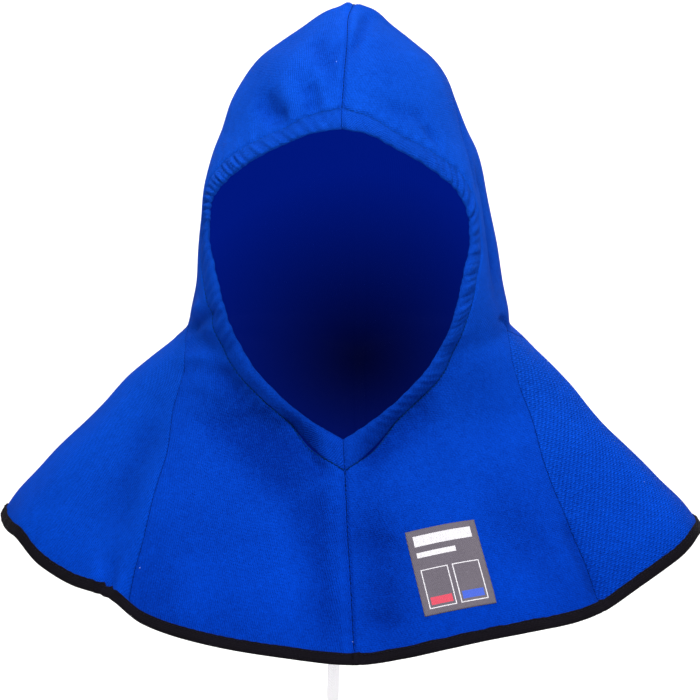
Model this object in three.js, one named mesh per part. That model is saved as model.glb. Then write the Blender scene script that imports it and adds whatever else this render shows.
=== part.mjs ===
// Welding hood: a close cloth hood with an open face that flares into a short cape over the shoulders.
//
// Frame, in millimetres: the wearer looks along -Y, +X is the wearer's left, +Z is up, and the origin is where the
// top of the head meets the inside of the crown. Left and right are the wearer's.
//
// The cloth follows one skin, skin(side, v, turn): v runs from the peak (0) past the neck (1) to the hem (2), and
// turn runs from the centre front (0) round the side to the centre back (180 degrees). Every piece is cut from it.

import * as THREE from 'three';

// ---- sizes ----

const CLOTH = 1.2;                // thickness of the cotton twill
const SEAM_GAP = 0.3;             // clearance between two pieces at a seam

const PEAK_HEIGHT = 8.6;          // peak of the crown above the head seat
const RIDGE_LENGTH = 26;          // flat run of the crown seam at the peak
const RIDGE_SETBACK = 10;         // middle of that run behind the head seat
const HOOD_DROP = 222;            // peak down to the side of the neck
const NECK_HALF_WIDTH = 113;
const HOOD_FRONT = 120;           // reach of the hood before the head seat, at cheek level
const HOOD_BACK = 121;            // reach of the hood behind it

const CAPE_DROP = 144;            // side of the neck down to the hem over the shoulder
const CAPE_HALF_WIDTH = 246;
const CAPE_FRONT = 180;
const CAPE_BACK = 190;
const HEM_DIP = 55;               // how much lower the hem hangs at the front than over the shoulder
const FRONT_DRIFT = 14.5;          // how far the front seam has swung towards the wearer's left at the hem

const FACE_TOP_DROP = 79;         // peak down to the top of the face opening
const FACE_HEIGHT = 208;
const FACE_SPREAD_DEG = 55;       // turn of the face opening's edge at its widest
const CASING_WIDTH = 14.5;
const CASING_TOP_DEPTH = 14;      // casing along the crown seam
const CASING_POINT_DEPTH = 22;    // casing along the front seam, below the point of the opening
const CASING_THICKNESS = 4.8;
const CASING_WALL = 1.2;

const GUSSET_POINT_DEG = 74;      // turn of the gusset's point, at the neck
const GUSSET_FRONT_LEFT_DEG = 46;  // turn of each gusset seam at the hem
const GUSSET_FRONT_RIGHT_DEG = 35.5;
const GUSSET_BACK_DEG = 135;
const GUSSET_POINT_SHARE = 0.15;  // where the gusset's cloth starts in the first row below its point

const BINDING_WIDTH = 6.5;
const BINDING_WALL = 1;

const PATCH_WIDTH = 47.5;
const PATCH_HEIGHT = 61;
const PATCH_THICKNESS = 0.6;
const PATCH_TURN_DEG = 18.7;        // where the patch's middle lies on the front
const PATCH_LEVEL = 1.735;
const PATCH_TILT_DEG = 0;

const CORD_WIDTH = 8.5;
const CORD_THICKNESS = 2;

// ---- tables ----

// Sections of the hood. down: share of HOOD_DROP. half, front, back: shares of NECK_HALF_WIDTH, HOOD_FRONT and
// HOOD_BACK. squareFront and squareBack: 2 is an ellipse, less is pointed at the seam, more is fuller. sway: how far
// the section leans to the wearer's left, as a share of NECK_HALF_WIDTH. drift: share of FRONT_DRIFT.
const HOOD_SECTIONS = [
  { down: 0.000, half: 0.000, front: 0.000, back: 0.000, squareFront: 1.60, squareBack: 1.60, sway: 0.050, drift: 0.00 },
  { down: 0.021, half: 0.132, front: 0.125, back: 0.310, squareFront: 1.60, squareBack: 1.60, sway: 0.036, drift: 0.00 },
  { down: 0.062, half: 0.255, front: 0.340, back: 0.430, squareFront: 1.65, squareBack: 1.65, sway: 0.018, drift: 0.16 },
  { down: 0.108, half: 0.392, front: 0.505, back: 0.560, squareFront: 1.75, squareBack: 1.80, sway: 0.014, drift: 0.26 },
  { down: 0.171, half: 0.540, front: 0.655, back: 0.695, squareFront: 1.90, squareBack: 1.95, sway: 0.006, drift: 0.31 },
  { down: 0.233, half: 0.625, front: 0.730, back: 0.795, squareFront: 2.00, squareBack: 2.05, sway: 0.000, drift: 0.33 },
  { down: 0.296, half: 0.680, front: 0.775, back: 0.870, squareFront: 2.10, squareBack: 2.10, sway: -0.006, drift: 0.34 },
  { down: 0.383, half: 0.738, front: 0.825, back: 0.935, squareFront: 2.20, squareBack: 2.15, sway: -0.002, drift: 0.34 },
  { down: 0.462, half: 0.800, front: 0.880, back: 0.985, squareFront: 2.35, squareBack: 2.20, sway: -0.002, drift: 0.34 },
  { down: 0.547, half: 0.842, front: 0.940, back: 1.000, squareFront: 2.50, squareBack: 2.20, sway: -0.002, drift: 0.31 },
  { down: 0.648, half: 0.876, front: 0.990, back: 1.000, squareFront: 2.60, squareBack: 2.20, sway: 0.008, drift: 0.26 },
  { down: 0.752, half: 0.910, front: 1.000, back: 0.992, squareFront: 2.60, squareBack: 2.20, sway: 0.019, drift: 0.26 },
  { down: 0.870, half: 0.942, front: 0.965, back: 0.975, squareFront: 2.50, squareBack: 2.15, sway: 0.026, drift: 0.21 },
  { down: 0.950, half: 0.975, front: 0.900, back: 0.960, squareFront: 2.40, squareBack: 2.10, sway: 0.028, drift: 0.16 },
  { down: 1.000, half: 1.000, front: 0.840, back: 0.955, squareFront: 2.30, squareBack: 2.10, sway: 0.026, drift: 0.10 },
];

// Sections of the cape. down: share of CAPE_DROP. half, front and back go from the hood's neck (0) to CAPE_HALF_WIDTH,
// CAPE_FRONT and CAPE_BACK (1). dip: share of the hem's dip. drift: share of FRONT_DRIFT. sway as above.
const CAPE_SECTIONS = [
  { level: 1.06, down: 0.070, half: 0.076, front: -0.040, back: 0.035, dip: 0.20, drift: 0.06, square: 2.20, sway: 0.024 },
  { level: 1.16, down: 0.185, half: 0.200, front: -0.100, back: 0.110, dip: 0.27, drift: 0.10, square: 2.14, sway: 0.016 },
  { level: 1.26, down: 0.285, half: 0.308, front: -0.120, back: 0.200, dip: 0.34, drift: 0.25, square: 2.12, sway: 0.006 },
  { level: 1.38, down: 0.416, half: 0.432, front: 0.020, back: 0.335, dip: 0.44, drift: 0.40, square: 2.10, sway: 0.008 },
  { level: 1.54, down: 0.572, half: 0.597, front: 0.270, back: 0.500, dip: 0.58, drift: 0.62, square: 2.08, sway: 0.004 },
  { level: 1.72, down: 0.755, half: 0.780, front: 0.560, back: 0.700, dip: 0.76, drift: 0.77, square: 2.06, sway: 0.020 },
  { level: 1.86, down: 0.875, half: 0.900, front: 0.780, back: 0.850, dip: 0.88, drift: 0.87, square: 2.05, sway: 0.030 },
  { level: 2.00, down: 1.000, half: 0.985, front: 1.000, back: 1.000, dip: 1.00, drift: 1.00, square: 2.05, sway: 0.037 },
];
const NECK_DIP_SHARE = 0.16;      // dip at the neck

// The hem's dip round the cape. turn: degrees from the centre front, plus towards the wearer's left. dip: share of HEM_DIP.
const HEM_LINE = [
  { turn: -180, dip: 0.55 },
  { turn: -135, dip: 0.28 },
  { turn: -96, dip: -0.04 },
  { turn: -80, dip: -0.22 },
  { turn: -64, dip: -0.16 },
  { turn: -56, dip: 0.14 },
  { turn: -48, dip: 0.33 },
  { turn: -40, dip: 0.39 },
  { turn: -32, dip: 0.62 },
  { turn: -20, dip: 0.81 },
  { turn: -8, dip: 0.92 },
  { turn: 0, dip: 0.96 },
  { turn: 8, dip: 0.87 },
  { turn: 16, dip: 0.76 },
  { turn: 26, dip: 0.66 },
  { turn: 40, dip: 0.57 },
  { turn: 48, dip: 0.48 },
  { turn: 64, dip: 0.06 },
  { turn: 76, dip: -0.14 },
  { turn: 92, dip: -0.06 },
  { turn: 135, dip: 0.28 },
  { turn: 180, dip: 0.55 },
];

// Half of the face opening's edge, from its top to its point. down: share of FACE_HEIGHT. spread: share of FACE_SPREAD_DEG.
// left, right: the casing's width on the wearer's left and right, as shares of CASING_WIDTH.
const FACE_EDGE = [
  { down: 0.000, spread: 0.000, left: 0.80, right: 1.00 },
  { down: 0.003, spread: 0.120, left: 0.55, right: 0.90 },
  { down: 0.026, spread: 0.290, left: 0.60, right: 0.80 },
  { down: 0.058, spread: 0.458, left: 0.68, right: 0.80 },
  { down: 0.118, spread: 0.710, left: 0.87, right: 1.00 },
  { down: 0.178, spread: 0.876, left: 0.98, right: 1.22 },
  { down: 0.238, spread: 1.005, left: 1.05, right: 1.34 },
  { down: 0.285, spread: 1.020, left: 1.05, right: 1.40 },
  { down: 0.335, spread: 1.015, left: 0.98, right: 1.42 },
  { down: 0.430, spread: 0.903, left: 0.98, right: 1.38 },
  { down: 0.512, spread: 0.826, left: 1.00, right: 1.32 },
  { down: 0.618, spread: 0.730, left: 0.82, right: 1.24 },
  { down: 0.698, spread: 0.637, left: 0.78, right: 1.10 },
  { down: 0.763, spread: 0.515, left: 0.85, right: 0.95 },
  { down: 0.843, spread: 0.347, left: 0.80, right: 0.80 },
  { down: 0.900, spread: 0.232, left: 0.76, right: 0.76 },
  { down: 0.931, spread: 0.165, left: 0.80, right: 0.80 },
  { down: 0.963, spread: 0.090, left: 0.90, right: 0.90 },
  { down: 1.000, spread: 0.000, left: 1.00, right: 1.00 },
];

// Folds and dents. level: where it is deepest, in v. reach: how far it fades, in v. turn: degrees from the centre
// front, plus towards the wearer's left. spread: degrees. depth: inwards, as a share of CAPE_FRONT.
const FOLDS = [
  { level: 2.00, reach: 0.60, turn: -45, spread: 10, depth: 0.050 },
  { level: 2.00, reach: 0.60, turn: -66, spread: 11, depth: -0.030 },
  { level: 2.00, reach: 0.50, turn: 52, spread: 8, depth: 0.030 },
  { level: 2.00, reach: 0.50, turn: 70, spread: 11, depth: -0.024 },
  { level: 2.00, reach: 0.50, turn: 128, spread: 11, depth: 0.036 },
  { level: 2.00, reach: 0.50, turn: -128, spread: 11, depth: 0.036 },
  { level: 1.05, reach: 0.10, turn: 90, spread: 18, depth: 0.016 },
  { level: 1.05, reach: 0.10, turn: -90, spread: 18, depth: 0.016 },
  { level: 0.12, reach: 0.10, turn: 12, spread: 12, depth: 0.012 },
  { level: 0.30, reach: 0.10, turn: -34, spread: 12, depth: 0.010 },
];

// How far each gusset seam has turned from the gusset's point (0) to its place at the hem (1).
const GUSSET_SEAM = [
  { level: 1.00, share: 0.000 },
  { level: 1.09, share: 0.470 },
  { level: 1.19, share: 0.650 },
  { level: 1.30, share: 0.750 },
  { level: 1.48, share: 0.890 },
  { level: 1.70, share: 0.955 },
  { level: 2.00, share: 1.000 },
];

// Route of the drawcord's middle line, out of the back of the casing at its point and down behind the front seam, from
// the point of the face opening. aside: to the wearer's left. inside: behind it. below: under it.
const CORD_ROUTE = [
  { aside: -5.2, inside: -1.1, below: 8 },
  { aside: -5.2, inside: 1.0, below: 12.2 },
  { aside: -5.2, inside: 2.2, below: 17.1 },
  { aside: -5.2, inside: 2.6, below: 22.6 },
  { aside: -5.2, inside: 2.4, below: 41.6 },
  { aside: -5.2, inside: 1.5, below: 66.6 },
  { aside: -5.3, inside: 0.1, below: 96.6 },
  { aside: -5.6, inside: -1.3, below: 131.6 },
  { aside: -6.3, inside: -2.5, below: 161.6 },
  { aside: -7.3, inside: -3.1, below: 191.6 },
  { aside: -8.1, inside: -3.3, below: 213.6 },
];

// How many rows and columns of quads the cloth has.
const ROW_COUNT = { crown: 8, face: 16, front: 9, abovePoint: 20 };
const COLUMN_COUNT = { front: 11, back: 10, gusset: 9 };

// ---- helpers ----

const radians = THREE.MathUtils.degToRad;
const mix = THREE.MathUtils.lerp;
const vec = (x, y, z) => new THREE.Vector3(x, y, z);

/** Smooth curve through table rows that never overshoots them: the slopes are the harmonic means of the steps. */
function tableCurve(rows, key, column) {
  const xs = rows.map((row) => row[key]);
  const ys = rows.map((row) => row[column]);
  const steps = xs.slice(1).map((x, i) => (ys[i + 1] - ys[i]) / (x - xs[i]));
  const slopes = ys.map((_, i) => {
    if (i === 0) return steps[0];
    if (i === ys.length - 1) return steps[i - 1];
    return steps[i - 1] * steps[i] <= 0 ? 0 : (2 * steps[i - 1] * steps[i]) / (steps[i - 1] + steps[i]);
  });
  return (x) => {
    const found = xs.findIndex((next, n) => n > 0 && x <= next);
    const i = found < 0 ? xs.length - 2 : found - 1;
    const width = xs[i + 1] - xs[i];
    const t = THREE.MathUtils.clamp((x - xs[i]) / width, 0, 1);
    const t2 = t * t;
    const t3 = t2 * t;
    return (2 * t3 - 3 * t2 + 1) * ys[i] + (t3 - 2 * t2 + t) * width * slopes[i]
      + (3 * t2 - 2 * t3) * ys[i + 1] + (t3 - t2) * width * slopes[i + 1];
  };
}

/** Where a rising function reaches a value, between two bounds. */
function solve(f, value, low, high) {
  for (let i = 0; i < 40; i += 1) {
    const middle = (low + high) / 2;
    if (f(middle) < value) low = middle;
    else high = middle;
  }
  return (low + high) / 2;
}

// ---- the skin ----

const NECK_LEVEL = PEAK_HEIGHT - HOOD_DROP;
const neckRow = HOOD_SECTIONS[HOOD_SECTIONS.length - 1];

const sections = [
  ...HOOD_SECTIONS.map((row) => ({
    level: row.down,
    z: PEAK_HEIGHT - row.down * HOOD_DROP,
    half: row.half * NECK_HALF_WIDTH,
    front: Math.max(row.front * HOOD_FRONT, RIDGE_LENGTH / 2 - RIDGE_SETBACK),
    back: Math.max(row.back * HOOD_BACK, RIDGE_LENGTH / 2 + RIDGE_SETBACK),
    squareFront: row.squareFront,
    squareBack: row.squareBack,
    dip: NECK_DIP_SHARE * row.down ** 2,
    drift: row.drift * FRONT_DRIFT,
    sway: row.sway * NECK_HALF_WIDTH,
  })),
  ...CAPE_SECTIONS.map((row) => ({
    level: row.level,
    z: NECK_LEVEL - row.down * CAPE_DROP,
    half: mix(NECK_HALF_WIDTH, CAPE_HALF_WIDTH, row.half),
    front: mix(neckRow.front * HOOD_FRONT, CAPE_FRONT, row.front),
    back: mix(neckRow.back * HOOD_BACK, CAPE_BACK, row.back),
    squareFront: row.square,
    squareBack: row.square,
    dip: row.dip,
    drift: row.drift * FRONT_DRIFT,
    sway: row.sway * NECK_HALF_WIDTH,
  })),
];
const section = Object.fromEntries(
  Object.keys(sections[0]).filter((key) => key !== 'level').map((key) => [key, tableCurve(sections, 'level', key)]),
);

const hemLine = tableCurve(HEM_LINE, 'turn', 'dip');
const wrapDegrees = (degrees) => ((degrees + 540) % 360) - 180;

/** Point of the skin. side: 1 the wearer's left, -1 the right. turn: radians from the centre front. */
function skin(side, v, turn) {
  const sine = Math.sin(turn);
  const cosine = Math.cos(turn);
  const square = cosine > 0 ? section.squareFront(v) : section.squareBack(v);
  const size = (Math.abs(sine) ** square + Math.abs(cosine) ** square) ** (1 / square);
  const reach = cosine > 0 ? section.front(v) : section.back(v);
  const degrees = side * THREE.MathUtils.radToDeg(turn);
  const point = vec(
    (side * section.half(v) * sine) / size + section.sway(v) + (cosine > 0 ? section.drift(v) * cosine ** 12 : 0),
    (-reach * cosine) / size,
    section.z(v) - section.dip(v) * HEM_DIP * hemLine(wrapDegrees(degrees)),
  );
  for (const fold of FOLDS) {
    const away = wrapDegrees(degrees - fold.turn);
    const share = Math.exp(-((away / fold.spread) ** 2)) * Math.exp(-(((v - fold.level) / fold.reach) ** 2) * 2);
    const outward = vec(point.x, point.y, 0).normalize();
    point.addScaledVector(outward, -share * fold.depth * CAPE_FRONT);
  }
  return point;
}

/** Directions on the skin: down towards the hem, round towards the back, and the outward normal. */
function directions(side, v, turn) {
  const step = 1e-3;
  const v0 = Math.max(v - step, 0);
  const v1 = Math.min(v + step, 2);
  const down = skin(side, v1, turn).sub(skin(side, v0, turn)).divideScalar(v1 - v0);
  const round = skin(side, v, turn + step).sub(skin(side, v, turn - step)).divideScalar(2 * step);
  const normal = down.clone().cross(round).multiplyScalar(side).normalize();
  const onSeam = turn < 1e-9 || turn > Math.PI - 1e-9;
  if (v < 1e-9) normal.set(0, 0, 1);
  else if (onSeam) normal.setX(0).normalize();
  return { down, round, normal };
}

/** Place of the skin, as [v, turn], reached from another by going a distance along it in a direction. */
function walk(side, [v, turn], direction, distance, steps = 6) {
  let place = [v, turn];
  for (let i = 0; i < steps; i += 1) {
    const { down, round, normal } = directions(side, ...place);
    const along = direction.clone().addScaledVector(normal, -direction.dot(normal)).setLength(distance / steps);
    const dd = down.dot(down);
    const dr = down.dot(round);
    const rr = round.dot(round);
    const a = along.dot(down);
    const b = along.dot(round);
    const scale = 1 / (dd * rr - dr * dr);
    place = [place[0] + (a * rr - b * dr) * scale, place[1] + (b * dd - a * dr) * scale];
  }
  return place;
}

/** Evenly spaced places along a path on the skin, by real length. */
function evenPlaces(side, path, count) {
  const fine = Array.from({ length: 241 }, (_, i) => path(i / 240));
  const points = fine.map((place) => skin(side, ...place));
  const run = [0];
  for (let i = 1; i < points.length; i += 1) run.push(run[i - 1] + points[i].distanceTo(points[i - 1]));
  return Array.from({ length: count + 1 }, (_, n) => {
    const target = (run[run.length - 1] * n) / count;
    const i = Math.max(run.findIndex((length, k) => k > 0 && length >= target - 1e-9), 1);
    const t = (target - run[i - 1]) / (run[i] - run[i - 1]);
    return [mix(fine[i - 1][0], fine[i][0], t), mix(fine[i - 1][1], fine[i][1], t)];
  });
}

// ---- solids ----

/** Closed solid from a sheet of quads: each vertex is a point of the middle of the cloth and its normal. */
function thicken(vertices, quads, thickness, lift = 0) {
  const half = thickness / 2;
  const positions = [];
  for (const offset of [lift + half, lift - half]) {
    for (const { point, normal } of vertices) positions.push(...point.clone().addScaledVector(normal, offset));
  }
  const count = vertices.length;
  const index = [];
  const edges = new Map();
  for (const [a, b, c, d] of quads) {
    index.push(a, b, c, a, c, d);
    index.push(a + count, c + count, b + count, a + count, d + count, c + count);
    for (const [p, q] of [[a, b], [b, c], [c, d], [d, a]]) {
      if (edges.has(`${q},${p}`)) edges.delete(`${q},${p}`);
      else edges.set(`${p},${q}`, [p, q]);
    }
  }
  for (const [p, q] of edges.values()) index.push(q, p, p + count, q, p + count, q + count);
  return solid(positions, index);
}

/** Closed solid through rings of equal length. Ring points run anticlockwise as seen looking back along the path. */
function loft(rings, { closed = false } = {}) {
  const size = rings[0].length;
  const index = [];
  const last = closed ? rings.length : rings.length - 1;
  for (let i = 0; i < last; i += 1) {
    const from = i * size;
    const to = ((i + 1) % rings.length) * size;
    for (let k = 0; k < size; k += 1) {
      const next = (k + 1) % size;
      index.push(from + k, from + next, to + next, from + k, to + next, to + k);
    }
  }
  if (!closed) {
    const end = (rings.length - 1) * size;
    for (let k = 1; k < size - 1; k += 1) index.push(0, k + 1, k, end, end + k, end + k + 1);
  }
  return solid(rings.flat().flatMap((point) => [...point]), index);
}

/** Open-ended tube: an outer and an inner ring of equal length at each station, joined at both ends. */
function tube(outer, inner) {
  const size = outer[0].length;
  const rows = outer.map((ring, i) => [...ring, ...inner[i]]);
  const width = 2 * size;
  const index = [];
  for (let i = 0; i < rows.length - 1; i += 1) {
    for (let k = 0; k < size; k += 1) {
      const next = (k + 1) % size;
      const [a, b, c, d] = [i * width + k, i * width + next, (i + 1) * width + next, (i + 1) * width + k];
      index.push(a, b, c, a, c, d);
      index.push(a + size, c + size, b + size, a + size, d + size, c + size);
    }
  }
  const end = (rows.length - 1) * width;
  for (let k = 0; k < size; k += 1) {
    const next = (k + 1) % size;
    index.push(k, size + next, next, k, size + k, size + next);
    index.push(end + k, end + next, end + size + next, end + k, end + size + next, end + size + k);
  }
  return solid(rows.flat().flatMap((point) => [...point]), index);
}

/** Geometry from positions and an index, turned right side out where its volume comes out negative. */
function solid(positions, index) {
  let volume = 0;
  const at = (i) => vec(positions[3 * i], positions[3 * i + 1], positions[3 * i + 2]);
  for (let i = 0; i < index.length; i += 3) volume += at(index[i]).dot(at(index[i + 1]).cross(at(index[i + 2])));
  if (volume < 0) for (let i = 0; i < index.length; i += 3) [index[i], index[i + 1]] = [index[i + 1], index[i]];
  const geometry = new THREE.BufferGeometry();
  geometry.setAttribute('position', new THREE.Float32BufferAttribute(positions, 3));
  geometry.setIndex(index);
  geometry.computeVertexNormals();
  return geometry;
}

/** Vertex of the cloth's middle, moved off the centre seams by half the seam gap. */
function clothVertex(side, place) {
  const point = skin(side, ...place).add(vec((side * SEAM_GAP) / 2, 0, 0));
  return { point, normal: directions(side, ...place).normal };
}

// ---- lines on the skin ----

const frontLevel = (drop) => solve((v) => -skin(1, v, 0).z, drop - PEAK_HEIGHT, 0, 2);
const edgeDown = tableCurve(FACE_EDGE.map((row, i) => ({ ...row, at: i })), 'at', 'down');
const edgeSpread = tableCurve(FACE_EDGE.map((row, i) => ({ ...row, at: i })), 'at', 'spread');
const casingShares = { [1]: tableCurve(FACE_EDGE, 'down', 'left'), [-1]: tableCurve(FACE_EDGE, 'down', 'right') };

/** The face opening's edge and its casing's stitch line, as evenly spaced places on the skin. */
function faceLines(side) {
  const path = (share) => {
    const at = share * (FACE_EDGE.length - 1);
    const turn = radians(FACE_SPREAD_DEG) * edgeSpread(at);
    const drop = FACE_TOP_DROP + edgeDown(at) * FACE_HEIGHT;
    return [solve((v) => -skin(side, v, turn).z, drop - PEAK_HEIGHT, 0, 2), turn];
  };
  const edge = evenPlaces(side, path, ROW_COUNT.face);
  const last = edge.length - 1;
  const stitch = edge.map((place, i) => {
    const { down, normal } = directions(side, ...place);
    const before = skin(side, ...edge[Math.max(i - 1, 0)]);
    const after = skin(side, ...edge[Math.min(i + 1, last)]);
    const away = after.sub(before).cross(normal).multiplyScalar(-side).normalize();
    const share = i / last;
    const fromTop = THREE.MathUtils.smoothstep(share, 0, 0.16);
    const fromPoint = THREE.MathUtils.smoothstep(1 - share, 0, 0.1);
    const seam = down.clone().normalize().multiplyScalar(share < 0.5 ? -1 : 1);
    const direction = seam.lerp(away, Math.min(fromTop, fromPoint)).normalize();
    const drop = (PEAK_HEIGHT - FACE_TOP_DROP - skin(side, ...place).z) / FACE_HEIGHT;
    const plain = CASING_WIDTH * casingShares[side](drop);
    const depth = share < 0.5 ? mix(CASING_TOP_DEPTH, plain, fromTop) : mix(CASING_POINT_DEPTH, plain, fromPoint);
    const reached = walk(side, place, direction, depth);
    return i === 0 || i === last ? [reached[0], 0] : reached;
  });
  return { edge, stitch };
}

/** Level of the binding's upper edge at a turn. */
const bindingLevel = (side, turn) => 2 - BINDING_WIDTH / directions(side, 2, turn).down.length();

const seamShare = tableCurve(GUSSET_SEAM, 'level', 'share');

/** Turn of a gusset seam at a level: it runs from the gusset's point to the binding, then straight to the hem. */
function gussetTurn(side, v, hemDegrees) {
  const end = bindingLevel(side, radians(hemDegrees));
  return mix(radians(GUSSET_POINT_DEG), radians(hemDegrees), v <= 1 ? 0 : seamShare(1 + (v - 1) / (end - 1)));
}
const gussetFrontDegrees = (side) => (side > 0 ? GUSSET_FRONT_LEFT_DEG : GUSSET_FRONT_RIGHT_DEG);

const rowCount = ROW_COUNT.crown + ROW_COUNT.face + ROW_COUNT.front;
const bindingRow = rowCount - 1;

/** For each row of cloth, its place down the front gusset line, the back gusset line and the centre back. */
function rowLines(side) {
  const lines = [
    [(v) => gussetTurn(side, v, gussetFrontDegrees(side)), radians(gussetFrontDegrees(side))],
    [(v) => gussetTurn(side, v, GUSSET_BACK_DEG), radians(GUSSET_BACK_DEG)],
    [() => Math.PI, Math.PI],
  ];
  return lines.map(([turn, hemTurn]) => {
    const end = bindingLevel(side, hemTurn);
    const hood = evenPlaces(side, (share) => [share, turn(share)], ROW_COUNT.abovePoint);
    const cape = evenPlaces(side, (share) => [mix(1, end, share), turn(mix(1, end, share))], bindingRow - ROW_COUNT.abovePoint);
    return [...hood, ...cape.slice(1), [2, hemTurn]];
  });
}

/** Places down the front of a hood panel: the crown seam, the casing's stitch line and the front seam. */
function frontPlaces(side, stitch) {
  const start = stitch[0][0];
  const end = stitch[stitch.length - 1][0];
  const crown = evenPlaces(side, (share) => [share * start, 0], ROW_COUNT.crown);
  const front = evenPlaces(side, (share) => [mix(end, bindingLevel(side, 0), share), 0], ROW_COUNT.front - 1);
  return [...crown, ...stitch.slice(1), ...front.slice(1), [2, 0]];
}

/** Place between two ends of a row of cloth. The last two rows keep to the binding's upper edge and to the hem. */
function rowPlace(side, row, from, to, share) {
  const turn = mix(from[1], to[1], share);
  return [row === bindingRow ? bindingLevel(side, turn) : mix(from[0], to[0], share), turn];
}

// ---- pieces ----

/** Half of the hood and cape, slit below the neck for the shoulder gusset. */
function hoodPanel(side) {
  const { edge, stitch } = faceLines(side);
  const clear = stitch.map((place, i) => {
    const direction = skin(side, ...place).sub(skin(side, ...edge[i]));
    const reached = walk(side, place, direction, SEAM_GAP, 1);
    return i === 0 || i === stitch.length - 1 ? [reached[0], 0] : reached;
  });
  const fronts = frontPlaces(side, clear);
  const [frontLine, backLine, centreBack] = rowLines(side);
  const vertices = [];
  const grid = [];
  for (let row = 0; row <= rowCount; row += 1) {
    const line = [];
    const add = (from, to, columns, first) => {
      for (let k = first; k <= columns; k += 1) {
        vertices.push(clothVertex(side, rowPlace(side, row, from, to, k / columns)));
        line.push(vertices.length - 1);
      }
    };
    add(fronts[row], frontLine[row], COLUMN_COUNT.front, 0);
    const slit = row > ROW_COUNT.abovePoint;
    if (slit) add(backLine[row], centreBack[row], COLUMN_COUNT.back, 0);
    else {
      line.push(line[line.length - 1]);
      add(backLine[row], centreBack[row], COLUMN_COUNT.back, 1);
    }
    grid.push(line);
  }
  const quads = [];
  for (let row = 0; row < rowCount; row += 1) {
    for (let k = 0; k < grid[row].length - 1; k += 1) {
      if (k === COLUMN_COUNT.front) continue;
      quads.push([grid[row][k], grid[row + 1][k], grid[row + 1][k + 1], grid[row][k + 1]]);
    }
  }
  return thicken(vertices, quads, CLOTH);
}

/** The triangle of cloth over a shoulder, a seam gap clear of the slit that it fills. */
function shoulderGusset(side) {
  const [frontLine, backLine] = rowLines(side);
  const nudges = [frontLine, backLine].map((line) => line.map((place, row) => {
    const round = directions(side, ...place).round.normalize();
    const here = skin(side, ...place);
    return Math.max(...[row - 1, row + 1].filter((other) => other >= ROW_COUNT.abovePoint && other <= rowCount).map((other) => {
      const seam = skin(side, ...line[other]).sub(here).normalize();
      return SEAM_GAP / seam.cross(round).length();
    }), SEAM_GAP);
  }));
  const point = clothVertex(side, frontLine[ROW_COUNT.abovePoint]);
  const rows = [];
  for (let row = ROW_COUNT.abovePoint; row <= rowCount; row += 1) {
    const atPoint = row === ROW_COUNT.abovePoint;
    const from = atPoint ? row + 1 : row;
    rows.push(Array.from({ length: COLUMN_COUNT.gusset + 1 }, (_, k) => {
      const share = k / COLUMN_COUNT.gusset;
      const place = rowPlace(side, from, frontLine[from], backLine[from], share);
      const vertex = clothVertex(side, place);
      if (atPoint) {
        vertex.point.lerpVectors(point.point, vertex.point, GUSSET_POINT_SHARE);
        vertex.normal.lerpVectors(point.normal, vertex.normal, GUSSET_POINT_SHARE).normalize();
      }
      const round = directions(side, ...place).round.normalize();
      vertex.point.addScaledVector(round, mix(nudges[0][from], -nudges[1][from], share));
      return vertex;
    }));
  }
  const width = COLUMN_COUNT.gusset + 1;
  const quads = [];
  for (let i = 0; i < rows.length - 1; i += 1) {
    for (let k = 0; k < COLUMN_COUNT.gusset; k += 1) {
      quads.push([i * width + k, (i + 1) * width + k, (i + 1) * width + k + 1, i * width + k + 1]);
    }
  }
  return thicken(rows.flat(), quads, CLOTH);
}

/** The folded channel round half of the face opening: a flat tube, open at both ends. */
function faceCasing(side) {
  const { edge, stitch } = faceLines(side);
  const sides = 10;
  const ring = (i, inset) => {
    const { point: from, normal } = clothVertex(side, edge[i]);
    const { point: to } = clothVertex(side, stitch[i]);
    const across = to.clone().sub(from);
    const half = across.length() / 2;
    const middle = from.clone().lerp(to, 0.5);
    across.normalize();
    return Array.from({ length: sides }, (_, k) => {
      const angle = (2 * Math.PI * (k + 0.5)) / sides;
      const cosine = Math.cos(angle);
      const sine = Math.sin(angle);
      const size = (Math.abs(cosine) ** 3 + Math.abs(sine) ** 3) ** (1 / 3);
      return middle.clone()
        .addScaledVector(across, ((half - inset) * cosine) / size)
        .addScaledVector(normal, ((CASING_THICKNESS / 2 - inset) * sine) / size);
    });
  };
  return tube(edge.map((_, i) => ring(i, 0)), edge.map((_, i) => ring(i, CASING_WALL)));
}

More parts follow.
